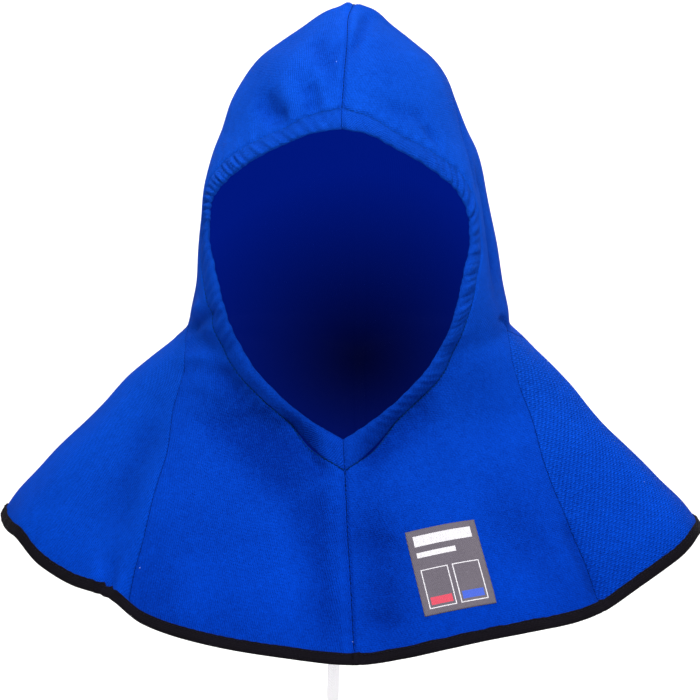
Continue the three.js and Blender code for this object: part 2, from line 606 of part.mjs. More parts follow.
/** The binding tape: a U folded over the hem all the way round. */
function hemBinding() {
  const slot = CLOTH / 2 + SEAM_GAP;
  const outer = slot + BINDING_WALL;
  const below = SEAM_GAP + BINDING_WALL;
  const profile = [
    [BINDING_WIDTH, outer], [-SEAM_GAP, outer], [-below, slot], [-below, -slot], [-SEAM_GAP, -outer],
    [BINDING_WIDTH, -outer], [BINDING_WIDTH, -slot], [-SEAM_GAP, -slot], [-SEAM_GAP, slot], [BINDING_WIDTH, slot],
  ];
  const halfTurns = (side) => {
    const front = radians(gussetFrontDegrees(side));
    const back = radians(GUSSET_BACK_DEG);
    const spans = [[0, front, COLUMN_COUNT.front], [front, back, COLUMN_COUNT.gusset], [back, Math.PI, COLUMN_COUNT.back]];
    return spans.flatMap(([from, to, count]) => Array.from({ length: count }, (_, k) => mix(from, to, k / count)));
  };
  const ring = (side, turn) => {
    const hem = clothVertex(side, [2, turn]);
    const top = clothVertex(side, [bindingLevel(side, turn), turn]);
    if (turn < 1e-9 || turn > Math.PI - 1e-9) for (const { point } of [hem, top]) point.x -= (side * SEAM_GAP) / 2;
    return profile.map(([height, out]) => {
      const share = height / BINDING_WIDTH;
      const normal = hem.normal.clone().lerp(top.normal, Math.max(share, 0)).normalize();
      return hem.point.clone().lerp(top.point, share).addScaledVector(normal, out);
    });
  };
  const left = [...halfTurns(1), Math.PI].map((turn) => ring(1, turn));
  const right = halfTurns(-1).slice(1).reverse().map((turn) => ring(-1, turn));
  return loft([...left, ...right], { closed: true });
}

/** The plain rectangle on the chest, just off the cloth and bent with it. */
function chestPatch() {
  const centre = [PATCH_LEVEL, radians(PATCH_TURN_DEG)];
  const { down, normal } = directions(1, ...centre);
  const tilt = radians(PATCH_TILT_DEG);
  const along = down.clone().normalize().applyAxisAngle(normal, tilt);
  const across = normal.clone().cross(along).normalize();
  const columns = 5;
  const rows = 6;
  const vertices = [];
  const quads = [];
  for (let i = 0; i <= rows; i += 1) {
    for (let k = 0; k <= columns; k += 1) {
      const reach = along.clone().multiplyScalar((i / rows - 0.5) * PATCH_HEIGHT)
        .addScaledVector(across, (k / columns - 0.5) * PATCH_WIDTH);
      vertices.push(clothVertex(1, walk(1, centre, reach.clone(), reach.length() + 1e-6)));
      if (i < rows && k < columns) {
        const a = i * (columns + 1) + k;
        quads.push([a, a + columns + 1, a + columns + 2, a + 1]);
      }
    }
  }
  return thicken(vertices, quads, PATCH_THICKNESS, CLOTH / 2 + SEAM_GAP + PATCH_THICKNESS);
}

/** The free end of the flat drawcord. */
function drawcord() {
  const opening = skin(1, frontLevel(FACE_TOP_DROP + FACE_HEIGHT), 0);
  const route = CORD_ROUTE.map(({ aside, inside, below }) => opening.clone().add(vec(aside, inside, -below)));
  const curve = new THREE.CatmullRomCurve3(route, false, 'centripetal');
  const steps = 32;
  const sides = 8;
  const rings = Array.from({ length: steps + 1 }, (_, i) => {
    const point = curve.getPointAt(i / steps);
    const along = curve.getTangentAt(i / steps);
    const across = vec(1, 0, 0).addScaledVector(along, -along.x).normalize();
    const out = along.clone().cross(across);
    return Array.from({ length: sides }, (_, k) => {
      const angle = (2 * Math.PI * (k + 0.5)) / sides;
      const size = (Math.abs(Math.cos(angle)) ** 4 + Math.abs(Math.sin(angle)) ** 4) ** 0.25;
      return point.clone()
        .addScaledVector(across, ((CORD_WIDTH / 2) * Math.cos(angle)) / size)
        .addScaledVector(out, ((CORD_THICKNESS / 2) * Math.sin(angle)) / size);
    });
  });
  return loft(rings);
}

// ---- the assembly ----

const twill = new THREE.MeshStandardMaterial({ name: 'hood_twill', color: 0x0445bf, roughness: 0.9, metalness: 0 });
const gussetTwill = new THREE.MeshStandardMaterial({ name: 'gusset_twill', color: 0x0648c2, roughness: 0.9, metalness: 0 });
const casingTwill = new THREE.MeshStandardMaterial({ name: 'casing_twill', color: 0x0b4bbf, roughness: 0.9, metalness: 0 });
const binding = new THREE.MeshStandardMaterial({ name: 'black_binding', color: 0x1c1a22, roughness: 0.85, metalness: 0 });
const patch = new THREE.MeshStandardMaterial({ name: 'grey_patch', color: 0x5a5560, roughness: 0.7, metalness: 0 });
const cord = new THREE.MeshStandardMaterial({ name: 'white_cord', color: 0xf4f2ee, roughness: 0.9, metalness: 0 });

const hood = new THREE.Group();
hood.name = 'welding_hood';

function add(name, geometry, material) {
  const mesh = new THREE.Mesh(geometry, material);
  mesh.name = name;
  hood.add(mesh);
}

for (const [name, side] of [['left', 1], ['right', -1]]) {
  add(`hood_panel_${name}`, hoodPanel(side), twill);
  add(`shoulder_gusset_${name}`, shoulderGusset(side), gussetTwill);
  add(`face_casing_${name}`, faceCasing(side), casingTwill);
}
add('hem_binding', hemBinding(), binding);
add('chest_patch', chestPatch(), patch);
add('drawcord', drawcord(), cord);

export default hood;
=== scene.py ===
"""Looks of a welding hood: a close cloth hood with an open face that flares into a short shoulder cape.

Everything is in the frame of the packed model: the wearer looks along -Y, +X is the wearer's left, +Z is up,
and the origin is the head seat inside the crown. The cut is worked out in millimetres and turned into metres
at the end.
"""

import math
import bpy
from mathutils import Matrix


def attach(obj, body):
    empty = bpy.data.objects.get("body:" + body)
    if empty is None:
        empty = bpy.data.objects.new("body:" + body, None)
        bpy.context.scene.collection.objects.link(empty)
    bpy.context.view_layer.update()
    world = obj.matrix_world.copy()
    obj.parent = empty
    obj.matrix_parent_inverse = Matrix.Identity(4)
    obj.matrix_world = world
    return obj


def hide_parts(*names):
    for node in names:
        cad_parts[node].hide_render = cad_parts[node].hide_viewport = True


bl_info = {
    "name": "Welding Hood",
    "version": (1, 0, 0),
    "blender": (4, 5, 0),
    "location": "View3D > Sidebar > Hood",
    "description": "Builds the cloth, seams, binding, patch and drawcord of a welding hood round its frame",
    "category": "Object",
}

import bpy
import numpy as np
from mathutils import Matrix, Vector

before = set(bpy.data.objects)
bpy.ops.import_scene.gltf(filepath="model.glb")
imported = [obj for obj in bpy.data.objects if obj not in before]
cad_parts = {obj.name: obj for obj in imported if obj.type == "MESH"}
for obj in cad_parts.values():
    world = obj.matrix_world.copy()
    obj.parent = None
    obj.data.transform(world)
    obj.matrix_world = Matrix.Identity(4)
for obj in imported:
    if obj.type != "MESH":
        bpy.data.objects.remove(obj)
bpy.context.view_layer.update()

MM = 0.001
BODY = "root"

# Sizes of the cut, in millimetres, as the frame has them.
CLOTH = 1.2
SEAM_GAP = 0.3
PEAK_HEIGHT = 8.6
RIDGE_LENGTH = 26
RIDGE_SETBACK = 10
HOOD_DROP = 222
NECK_HALF_WIDTH = 113
HOOD_FRONT = 120
HOOD_BACK = 121
CAPE_DROP = 144
CAPE_HALF_WIDTH = 246
CAPE_FRONT = 180
CAPE_BACK = 190
HEM_DIP = 55
FRONT_DRIFT = 14.5
FACE_TOP_DROP = 79
FACE_HEIGHT = 208
FACE_SPREAD = 55
CASING_WIDTH = 14.5
CASING_TOP_DEPTH = 14
CASING_POINT_DEPTH = 22
CASING_THICKNESS = 4.8
GUSSET_POINT = 74
GUSSET_FRONT = {1: 46, -1: 35.5}
GUSSET_BACK = 135
BINDING_WIDTH = 6.5
NECK_DIP_SHARE = 0.16
CASING_WALL = 1.2
PATCH_LEVEL = 1.735
PATCH_TURN = 18.7

# Columns: down, half, front, back, square_front, square_back, sway, drift. Shares of the sizes above.
HOOD_SECTIONS = (
    (0.000, 0.000, 0.000, 0.000, 1.60, 1.60, 0.050, 0.00),
    (0.021, 0.132, 0.125, 0.310, 1.60, 1.60, 0.036, 0.00),
    (0.062, 0.255, 0.340, 0.430, 1.65, 1.65, 0.018, 0.16),
    (0.108, 0.392, 0.505, 0.560, 1.75, 1.80, 0.014, 0.26),
    (0.171, 0.540, 0.655, 0.695, 1.90, 1.95, 0.006, 0.31),
    (0.233, 0.625, 0.730, 0.795, 2.00, 2.05, 0.000, 0.33),
    (0.296, 0.680, 0.775, 0.870, 2.10, 2.10, -0.006, 0.34),
    (0.383, 0.738, 0.825, 0.935, 2.20, 2.15, -0.002, 0.34),
    (0.462, 0.800, 0.880, 0.985, 2.35, 2.20, -0.002, 0.34),
    (0.547, 0.842, 0.940, 1.000, 2.50, 2.20, -0.002, 0.31),
    (0.648, 0.876, 0.990, 1.000, 2.60, 2.20, 0.008, 0.26),
    (0.752, 0.910, 1.000, 0.992, 2.60, 2.20, 0.019, 0.26),
    (0.870, 0.942, 0.965, 0.975, 2.50, 2.15, 0.026, 0.21),
    (0.950, 0.975, 0.900, 0.960, 2.40, 2.10, 0.028, 0.16),
    (1.000, 1.000, 0.840, 0.955, 2.30, 2.10, 0.026, 0.10),
)
# Columns: level, down, half, front, back, dip, drift, square, sway.
CAPE_SECTIONS = (
    (1.06, 0.070, 0.076, -0.040, 0.035, 0.20, 0.06, 2.20, 0.024),
    (1.16, 0.185, 0.200, -0.100, 0.110, 0.27, 0.10, 2.14, 0.016),
    (1.26, 0.285, 0.308, -0.120, 0.200, 0.34, 0.25, 2.12, 0.006),
    (1.38, 0.416, 0.432, 0.020, 0.335, 0.44, 0.40, 2.10, 0.008),
    (1.54, 0.572, 0.597, 0.270, 0.500, 0.58, 0.62, 2.08, 0.004),
    (1.72, 0.755, 0.780, 0.560, 0.700, 0.76, 0.77, 2.06, 0.020),
    (1.86, 0.875, 0.900, 0.780, 0.850, 0.88, 0.87, 2.05, 0.030),
    (2.00, 1.000, 0.985, 1.000, 1.000, 1.00, 1.00, 2.05, 0.037),
)
# Columns: turn in degrees, share of the hem's dip.
HEM_LINE = (
    (-180, 0.55), (-135, 0.28), (-96, -0.04), (-80, -0.22), (-64, -0.16), (-56, 0.14), (-48, 0.33), (-40, 0.39),
    (-32, 0.62), (-20, 0.81), (-8, 0.92), (0, 0.96), (8, 0.87), (16, 0.76), (26, 0.66), (40, 0.57), (48, 0.48),
    (64, 0.06), (76, -0.14), (92, -0.06), (135, 0.28), (180, 0.55),
)
# Columns: down, spread, casing on the wearer's left, and on the right. The last two are shares of CASING_WIDTH.
FACE_EDGE = (
    (0.000, 0.000, 0.80, 1.00),
    (0.003, 0.120, 0.55, 0.90),
    (0.026, 0.290, 0.60, 0.80),
    (0.058, 0.458, 0.68, 0.80),
    (0.118, 0.710, 0.87, 1.00),
    (0.178, 0.876, 0.98, 1.22),
    (0.238, 1.005, 1.05, 1.34),
    (0.285, 1.020, 1.05, 1.40),
    (0.335, 1.015, 0.98, 1.42),
    (0.430, 0.903, 0.98, 1.38),
    (0.512, 0.826, 1.00, 1.32),
    (0.618, 0.730, 0.82, 1.24),
    (0.698, 0.637, 0.78, 1.10),
    (0.763, 0.515, 0.85, 0.95),
    (0.843, 0.347, 0.80, 0.80),
    (0.900, 0.232, 0.76, 0.76),
    (0.931, 0.165, 0.80, 0.80),
    (0.963, 0.090, 0.90, 0.90),
    (1.000, 0.000, 1.00, 1.00),
)
# Columns: level, reach, turn, spread, depth as a share of CAPE_FRONT.
FOLDS = (
    (2.00, 0.60, -45, 10, 0.050), (2.00, 0.60, -66, 11, -0.030), (2.00, 0.50, 52, 8, 0.030),
    (2.00, 0.50, 70, 11, -0.024), (2.00, 0.50, 128, 11, 0.036), (2.00, 0.50, -128, 11, 0.036),
    (1.05, 0.10, 90, 18, 0.016), (1.05, 0.10, -90, 18, 0.016), (0.12, 0.10, 12, 12, 0.012),
    (0.30, 0.10, -34, 12, 0.010),
)
# Columns: level, share of the way from the gusset's point to its place at the hem.
GUSSET_SEAM = ((1.00, 0.0), (1.09, 0.47), (1.19, 0.65), (1.30, 0.75), (1.48, 0.89), (1.70, 0.955), (2.0, 1.0))


def mix(a, b, share):
    return a + (b - a) * share


def smooth(x, low=0.0, high=1.0):
    """Smooth step from 0 at low to 1 at high."""
    t = np.clip((np.asarray(x, float) - low) / (high - low), 0, 1)
    return t * t * (3 - 2 * t)


def table_curve(xs, ys):
    """Smooth curve through table rows that never overshoots them."""
    xs, ys = np.asarray(xs, float), np.asarray(ys, float)
    steps = np.diff(ys) / np.diff(xs)
    before, after = steps[:-1], steps[1:]
    safe = np.where(before * after > 0, before + after, 1)
    inner = np.where(before * after > 0, 2 * before * after / safe, 0)
    slopes = np.concatenate([steps[:1], inner, steps[-1:]])

    def value(x):
        x = np.asarray(x, float)
        i = np.clip(np.searchsorted(xs[1:], x), 0, len(xs) - 2)
        width = xs[i + 1] - xs[i]
        t = np.clip((x - xs[i]) / width, 0, 1)
        t2, t3 = t * t, t ** 3
        return ((2 * t3 - 3 * t2 + 1) * ys[i] + (t3 - 2 * t2 + t) * width * slopes[i]
                + (3 * t2 - 2 * t3) * ys[i + 1] + (t3 - t2) * width * slopes[i + 1])
    return value


def solve(f, value, low, high):
    """Where a rising function reaches each value, between two bounds."""
    value = np.asarray(value, float)
    low, high = np.full(value.shape, float(low)), np.full(value.shape, float(high))
    for _ in range(40):
        middle = (low + high) / 2
        below = f(middle) < value
        low, high = np.where(below, middle, low), np.where(below, high, middle)
    return (low + high) / 2


def section_curves():
    """One curve over the level for each value of a section, hood and cape together."""
    neck = HOOD_SECTIONS[-1]
    rows = []
    for down, half, front, back, square_front, square_back, sway, drift in HOOD_SECTIONS:
        rows.append((down, PEAK_HEIGHT - down * HOOD_DROP, half * NECK_HALF_WIDTH,
                     max(front * HOOD_FRONT, RIDGE_LENGTH / 2 - RIDGE_SETBACK),
                     max(back * HOOD_BACK, RIDGE_LENGTH / 2 + RIDGE_SETBACK),
                     square_front, square_back, NECK_DIP_SHARE * down ** 2, drift * FRONT_DRIFT,
                     sway * NECK_HALF_WIDTH))
    for level, down, half, front, back, dip, drift, square, sway in CAPE_SECTIONS:
        rows.append((level, PEAK_HEIGHT - HOOD_DROP - down * CAPE_DROP,
                     mix(NECK_HALF_WIDTH, CAPE_HALF_WIDTH, half),
                     mix(neck[2] * HOOD_FRONT, CAPE_FRONT, front), mix(neck[3] * HOOD_BACK, CAPE_BACK, back),
                     square, square, dip, drift * FRONT_DRIFT, sway * NECK_HALF_WIDTH))
    columns = list(zip(*rows))
    names = ("z", "half", "front", "back", "square_front", "square_back", "dip", "drift", "sway")
    return {name: table_curve(columns[0], column) for name, column in zip(names, columns[1:])}


SECTION = section_curves()
hem_line = table_curve(*zip(*HEM_LINE))


def wrap_degrees(degrees):
    return (degrees + 540) % 360 - 180


def skin(side, v, turn):
    """Points of the skin. side: 1 the wearer's left, -1 the right. turn: radians from the centre front."""
    v, turn = np.broadcast_arrays(np.asarray(v, float), np.asarray(turn, float))
    sine, cosine = np.sin(turn), np.cos(turn)
    ahead = cosine > 0
    square = np.where(ahead, SECTION["square_front"](v), SECTION["square_back"](v))
    size = (np.abs(sine) ** square + np.abs(cosine) ** square) ** (1 / square)
    reach = np.where(ahead, SECTION["front"](v), SECTION["back"](v))
    degrees = side * np.degrees(turn)
    x = side * SECTION["half"](v) * sine / size + SECTION["sway"](v)
    x = x + np.where(ahead, SECTION["drift"](v) * np.abs(cosine) ** 12, 0)
    y = -reach * cosine / size
    z = SECTION["z"](v) - SECTION["dip"](v) * HEM_DIP * hem_line(wrap_degrees(degrees))
    for level, fold_reach, fold_turn, spread, depth in FOLDS:
        away = wrap_degrees(degrees - fold_turn)
        share = np.exp(-(away / spread) ** 2) * np.exp(-2 * ((v - level) / fold_reach) ** 2)
        length = np.maximum(np.hypot(x, y), 1e-9)
        move = share * depth * CAPE_FRONT / length
        x, y = x - move * x, y - move * y
    return np.stack([x, y, z], -1)


def unit(vectors):
    return vectors / np.maximum(np.linalg.norm(vectors, axis=-1, keepdims=True), 1e-12)


def lengths(points):
    """How far along a polyline each of its points lies."""
    return np.concatenate([[0], np.cumsum(np.linalg.norm(np.diff(points, axis=0), axis=-1))])


def directions(side, v, turn):
    """On the skin: down towards the hem, round towards the back, and the outward normal."""
    v, turn = np.broadcast_arrays(np.asarray(v, float), np.asarray(turn, float))
    step = 1e-3
    v0, v1 = np.maximum(v - step, 0), np.minimum(v + step, 2)
    down = (skin(side, v1, turn) - skin(side, v0, turn)) / (v1 - v0)[..., None]
    around = (skin(side, v, turn + step) - skin(side, v, turn - step)) / (2 * step)
    normal = unit(np.cross(down, around) * side)
    on_seam = (turn < 1e-9) | (turn > math.pi - 1e-9)
    normal[..., 0] = np.where(on_seam, 0, normal[..., 0])
    normal = unit(normal)
    normal[v < 1e-9] = (0, 0, 1)
    return down, around, normal


def walk(side, v, turn, direction, distance, steps=6):
    """Places of the skin reached by going a distance along it in a direction."""
    for _ in range(steps):
        down, around, normal = directions(side, v, turn)
        along = direction - normal * np.sum(direction * normal, -1, keepdims=True)
        along = unit(along) * (np.asarray(distance, float)[..., None] / steps)
        dd, dr, rr = (np.sum(p * q, -1) for p, q in ((down, down), (down, around), (around, around)))
        a, b = np.sum(along * down, -1), np.sum(along * around, -1)
        scale = 1 / (dd * rr - dr * dr)
        v, turn = v + (a * rr - b * dr) * scale, turn + (b * dd - a * dr) * scale
    return v, turn


def even_places(side, path, count):
    """Evenly spaced places along a path on the skin, by real length."""
    share = np.linspace(0, 1, 241)
    v, turn = path(share)
    v, turn = np.broadcast_arrays(v, turn)
    run = lengths(skin(side, v, turn))
    target = np.linspace(0, run[-1], count + 1)
    return np.interp(target, run, v), np.interp(target, run, turn)


EDGE_ROWS = 16
edge_down = table_curve(range(len(FACE_EDGE)), [row[0] for row in FACE_EDGE])
edge_spread = table_curve(range(len(FACE_EDGE)), [row[1] for row in FACE_EDGE])
casing_share = {side: table_curve([row[0] for row in FACE_EDGE], [row[column] for row in FACE_EDGE])
                for side, column in ((1, 2), (-1, 3))}


def face_lines(side, count):
    """The face opening's edge and the casing's stitch line, as evenly spaced places."""
    def path(share):
        at = share * (len(FACE_EDGE) - 1)
        turn = math.radians(FACE_SPREAD) * edge_spread(at)
        drop = FACE_TOP_DROP + edge_down(at) * FACE_HEIGHT
        return solve(lambda v: -skin(side, v, turn)[..., 2], drop - PEAK_HEIGHT, 0, 2), turn

    v, turn = even_places(side, path, EDGE_ROWS)
    share = np.linspace(0, 1, EDGE_ROWS + 1)
    down, _, normal = directions(side, v, turn)
    points = skin(side, v, turn)
    before = points[np.maximum(np.arange(EDGE_ROWS + 1) - 1, 0)]
    after = points[np.minimum(np.arange(EDGE_ROWS + 1) + 1, EDGE_ROWS)]
    away = unit(np.cross(after - before, normal) * -side)
    from_top, from_point = smooth(share, 0, 0.16), smooth(1 - share, 0, 0.1)
    seam = unit(down) * np.where(share < 0.5, -1, 1)[:, None]
    direction = unit(mix(seam, away, np.minimum(from_top, from_point)[:, None]))
    drop = (PEAK_HEIGHT - FACE_TOP_DROP - points[:, 2]) / FACE_HEIGHT
    plain = CASING_WIDTH * casing_share[side](drop)
    depth = np.where(share < 0.5, mix(CASING_TOP_DEPTH, plain, from_top),
                     mix(CASING_POINT_DEPTH, plain, from_point))
    sv, st = walk(side, v, turn, direction, depth)
    st[0] = st[-1] = 0
    fine = np.linspace(0, EDGE_ROWS, count + 1)
    at = np.arange(EDGE_ROWS + 1)
    return tuple((table_curve(at, a)(fine), table_curve(at, b)(fine)) for a, b in ((v, turn), (sv, st)))


def binding_level(side, turn):
    """Level of the binding's upper edge at a turn."""
    down = directions(side, np.full(np.shape(turn), 2.0), turn)[0]
    return 2 - BINDING_WIDTH / np.linalg.norm(down, axis=-1)


seam_share = table_curve(*zip(*GUSSET_SEAM))


def gusset_turn(side, v, hem_degrees):
    end = float(binding_level(side, np.array(math.radians(hem_degrees))))
    share = np.where(v <= 1, 0, seam_share(1 + (v - 1) / (end - 1)))
    return mix(math.radians(GUSSET_POINT), math.radians(hem_degrees), share)


# ---- lines and grids on the skin ----

ROW_STEPS = 7                      # fine rows to each row of the frame's cloth
CROWN_ROWS, FACE_ROWS, FRONT_ROWS, ROWS_ABOVE_POINT = 8, 16, 9, 20
LAST_ROW = CROWN_ROWS + FACE_ROWS + FRONT_ROWS
BINDING_ROW = LAST_ROW - 1
FRONT_COLUMNS, BACK_COLUMNS, GUSSET_COLUMNS = 88, 56, 64


def joined(*runs):
    """Joins runs of places that share their end places."""
    return tuple(np.concatenate([runs[0][k], *[run[k][1:] for run in runs[1:]]]) for k in (0, 1))


def straight(start, end, count):
    share = np.linspace(0, 1, count + 1)
    return mix(start[0], end[0], share), mix(start[1], end[1], share)


def front_run(side):
    """Places down the front of a hood half: crown seam, casing's stitch line, front seam, binding."""
    edge, stitch = face_lines(side, FACE_ROWS * ROW_STEPS)
    outward = unit(skin(side, *stitch) - skin(side, *edge))
    clear = walk(side, *stitch, outward, np.full(len(stitch[0]), SEAM_GAP), 1)
    clear[1][0] = clear[1][-1] = 0
    start, end = clear[0][0], clear[0][-1]
    top = float(binding_level(side, np.array(0.0)))
    crown = even_places(side, lambda share: (share * start, 0 * share), CROWN_ROWS * ROW_STEPS)
    front = even_places(side, lambda share: (mix(end, top, share), 0 * share), (FRONT_ROWS - 1) * ROW_STEPS)
    return joined(crown, clear, front, straight((top, 0), (2, 0), ROW_STEPS))


def down_run(side, turn_at, hem_turn):
    """Places down a gusset line or the centre back, row by row."""
    end = float(binding_level(side, np.array(hem_turn)))
    hood = even_places(side, lambda share: (share, turn_at(share)), ROWS_ABOVE_POINT * ROW_STEPS)
    cape = even_places(side, lambda share: (mix(1, end, share), turn_at(mix(1, end, share))),
                       (BINDING_ROW - ROWS_ABOVE_POINT) * ROW_STEPS)
    return joined(hood, cape, straight((end, hem_turn), (2, hem_turn), ROW_STEPS))


def gusset_run(side, hem_degrees):
    """Places down one of a gusset's two seams."""
    return down_run(side, lambda v: gusset_turn(side, np.asarray(v, float), hem_degrees),
                    math.radians(hem_degrees))


def row_places(side, start, end, shares, rows):
    """Grid of places between two runs. Its last rows keep to the binding's upper edge and to the hem."""
    v = mix(start[0][:, None], end[0][:, None], shares)
    turn = mix(start[1][:, None], end[1][:, None], shares)
    at = BINDING_ROW * ROW_STEPS - (LAST_ROW * ROW_STEPS + 1 - rows)
    missing = binding_level(side, turn[at]) - v[at]
    row = np.arange(rows) + LAST_ROW * ROW_STEPS + 1 - rows
    fade = (smooth(row / ROW_STEPS, BINDING_ROW - 5, BINDING_ROW)
            * (1 - np.clip(row / ROW_STEPS - BINDING_ROW, 0, 1)))
    return v + fade[:, None] * missing, turn


def clustered(count, tightness=0.75):
    """Shares from 0 to 1 that lie closer together near both ends."""
    share = np.linspace(0, 1, count + 1)
    return mix(share, (1 - np.cos(math.pi * share)) / 2, tightness)


def resampled(line, spacing):
    """Points along a polyline at an even spacing."""
    run = lengths(line)
    at = np.linspace(0, run[-1], max(int(round(run[-1] / spacing)), 1) + 1)
    return np.stack([np.interp(at, run, line[:, k]) for k in range(line.shape[1])], -1)


def line_field(points, line):
    """Distance of each point from a polyline, how far along it the nearest place is, and its whole length."""
    start, step = line[:-1], np.diff(line, axis=0)
    square = np.maximum(np.sum(step * step, -1), 1e-12)
    length = np.sqrt(square)
    run = np.concatenate([[0], np.cumsum(length)])
    flat = points.reshape(-1, 3)
    away, along = np.empty(len(flat)), np.empty(len(flat))
    for first in range(0, len(flat), 2000):
        part = flat[first:first + 2000, None, :] - start
        t = np.clip(np.sum(part * step, -1) / square, 0, 1)
        gap = np.linalg.norm(part - t[..., None] * step, axis=-1)
        best = gap.argmin(1)
        rows = np.arange(len(best))
        away[first:first + 2000] = gap[rows, best]
        along[first:first + 2000] = run[best] + t[rows, best] * length[best]
    return away.reshape(points.shape[:-1]), along.reshape(points.shape[:-1]), run[-1]


# ---- relief of the cloth ----

# Creases and dents. Columns: places (level, turn in degrees), width and depth in millimetres. A depth
# above zero goes inwards.
CREASES = (
    (((0.020, 60.0), (0.045, 34.0), (0.075, 20.0), (0.113, 7.5), (0.150, 3.6)), 3.6, 2.6),
    (((0.018, 16.0), (0.055, 9.0), (0.098, 3.0)), 4.0, -1.3),
    (((0.098, -27.5), (0.144, -16.0), (0.186, -10.0)), 6.0, 2.2),
    (((0.222, -19.0), (0.262, -15.0), (0.305, -13.0)), 6.5, 3.6),
    (((0.262, -45.0), (0.290, -36.5), (0.335, -27.0)), 8.0, 3.8),
    (((0.225, -31.0), (0.262, -24.0)), 9.0, -1.6),
    (((0.276, 93.0), (0.350, 84.0), (0.470, 73.0), (0.580, 67.0)), 6.5, 3.0),
    (((1.215, -15.0), (1.262, -11.6), (1.318, -8.6), (1.372, -6.2), (1.392, -4.2)), 5.2, 4.2),
    (((1.230, -9.0), (1.300, -5.2)), 5.0, -1.6),
    (((1.386, 4.2), (1.335, 7.0), (1.296, 12.0), (1.235, 20.0), (1.170, 26.0)), 11.5, 5.4),
    (((1.320, -11.5), (1.352, -8.0), (1.390, -4.4)), 5.0, 2.2),
    (((1.290, 4.8), (1.245, 9.0)), 5.0, -1.4),
    (((1.060, -62.0), (1.013, -52.0), (1.024, -40.0)), 5.0, 1.1),
    (((1.100, -60.0), (1.066, -49.0), (1.072, -38.5)), 5.0, -0.6),
    (((1.140, -55.0), (1.102, -46.4), (1.114, -35.0)), 5.0, 1.1),
    (((1.236, -48.0), (1.209, -40.2), (1.214, -32.0)), 5.0, 0.8),
    (((1.330, -43.0), (1.298, -37.3), (1.292, -29.0)), 6.0, 0.7),
    (((0.998, -66.0), (0.935, -54.1), (0.900, -47.5)), 4.5, 3.4),
    (((0.952, -68.0), (0.900, -56.0)), 4.5, -2.0),
    (((0.952, 66.0), (0.968, 73.0), (1.010, 79.0)), 2.6, 2.4),
    (((0.925, 74.0), (0.955, 84.0)), 4.5, -0.5),
    (((1.180, -30.0), (1.264, -28.0), (1.344, -19.5), (1.491, -9.5)), 18.0, 4.8),
    (((1.020, -49.0), (1.127, -33.5), (1.238, -21.0), (1.322, -12.4), (1.380, -7.4)), 10.0, 3.6),
    (((1.413, -5.6), (1.549, -5.2), (1.664, -4.8), (1.793, -4.1), (1.950, -3.6)), 6.5, 3.0),
    (((1.440, -9.8), (1.582, -8.2), (1.731, -7.0), (1.900, -5.6)), 12.0, 3.0),
    (((1.200, 20.6), (1.098, 31.0), (1.004, 41.0)), 8.0, 2.2),
    (((1.600, 0.5), (1.609, 5.0), (1.640, 9.0)), 6.5, 2.2),
    (((1.850, 2.4), (1.872, 6.6)), 6.0, 1.8),
    (((0.480, 82.0), (0.720, 76.0), (0.860, 70.0)), 11.0, 5.0),
    (((1.300, -51.5), (1.520, -47.5), (1.760, -43.0)), 13.0, 3.2),
    (((0.284, 22.0), (0.306, 34.0), (0.326, 47.0)), 7.0, 2.2),
    (((0.352, 44.5), (0.398, 48.6)), 4.6, 2.4),
    (((0.300, -42.0), (0.316, -33.0), (0.330, -24.0)), 6.0, 2.0),
    (((0.110, -9.4), (0.240, -5.0)), 5.0, 1.5),
    (((1.620, -11.0), (1.830, -8.0)), 14.0, -2.0),
    (((1.700, -26.0), (1.960, -24.0)), 17.0, -1.2),
    (((1.420, 21.0), (1.560, 33.0), (1.760, 38.0)), 16.0, 0.9),
    (((1.480, 4.0), (1.700, 5.5), (1.930, 6.0)), 12.0, 3.0),
    (((1.640, 46.8), (1.800, 46.0), (1.985, 46.4)), 7.0, 3.2),
    (((1.840, -42.5), (1.900, -41.5), (1.985, -40.6)), 5.0, 3.1),
    (((1.890, -45.4), (1.985, -43.6)), 3.2, -2.4),
    (((1.900, -38.0), (1.985, -37.8)), 3.2, -2.4),
    (((0.080, 150.0), (0.180, 158.0), (0.300, 160.0)), 9.0, 3.6),
    (((0.120, -140.0), (0.220, -150.0), (0.360, -152.0)), 10.0, 3.2),
    (((0.900, 120.0), (1.020, 128.0), (1.120, 150.0)), 9.0, 4.0),
    (((0.920, -118.0), (1.040, -128.0), (1.120, -152.0)), 9.0, 4.0),
    (((1.060, 168.0), (1.120, -178.0), (1.080, -166.0)), 8.0, 3.6),
    (((1.300, 158.0), (1.600, 160.0), (1.900, 161.0)), 18.0, 3.4),
    (((1.350, -150.0), (1.650, -155.0), (1.920, -156.0)), 18.0, 3.1),
    (((1.250, 100.0), (1.600, 104.0), (1.920, 104.0)), 17.0, 3.1),
    (((1.250, -98.0), (1.600, -103.0), (1.920, -104.0)), 17.0, 3.1),
)
PEAK_NUB = (2.0, 5.0, 8.4)          # where the crown seam's allowance makes a small lump at the peak
LUMP_SIZE = (4.2, 9.0, 5.0)
WAVES = 26
# How the cloth rolls in at a seam. Depth, width and depth of the puckers beside it, in millimetres.
FLAT_SEAM = (0.22, 1.3, 0.10)
TURNED_SEAM = (2.1, 1.7, 0.36)
STITCHED_SEAM = (1.1, 1.8, 0.85)


def crease_lines():
    """The creases as polylines on the skin, with their width and depth."""
    lines = []
    for places, width, depth in CREASES:
        level, turn = (np.array(column, float) for column in zip(*places))
        turn = np.unwrap(np.radians(turn))
        at = np.linspace(0, len(places) - 1, 4 * len(places))
        knots = range(len(places))
        level, turn = table_curve(knots, level)(at), table_curve(knots, turn)(at)
        side = 1 if turn[0] >= 0 else -1
        lines.append((skin(side, level, side * turn), width, depth))
    return lines


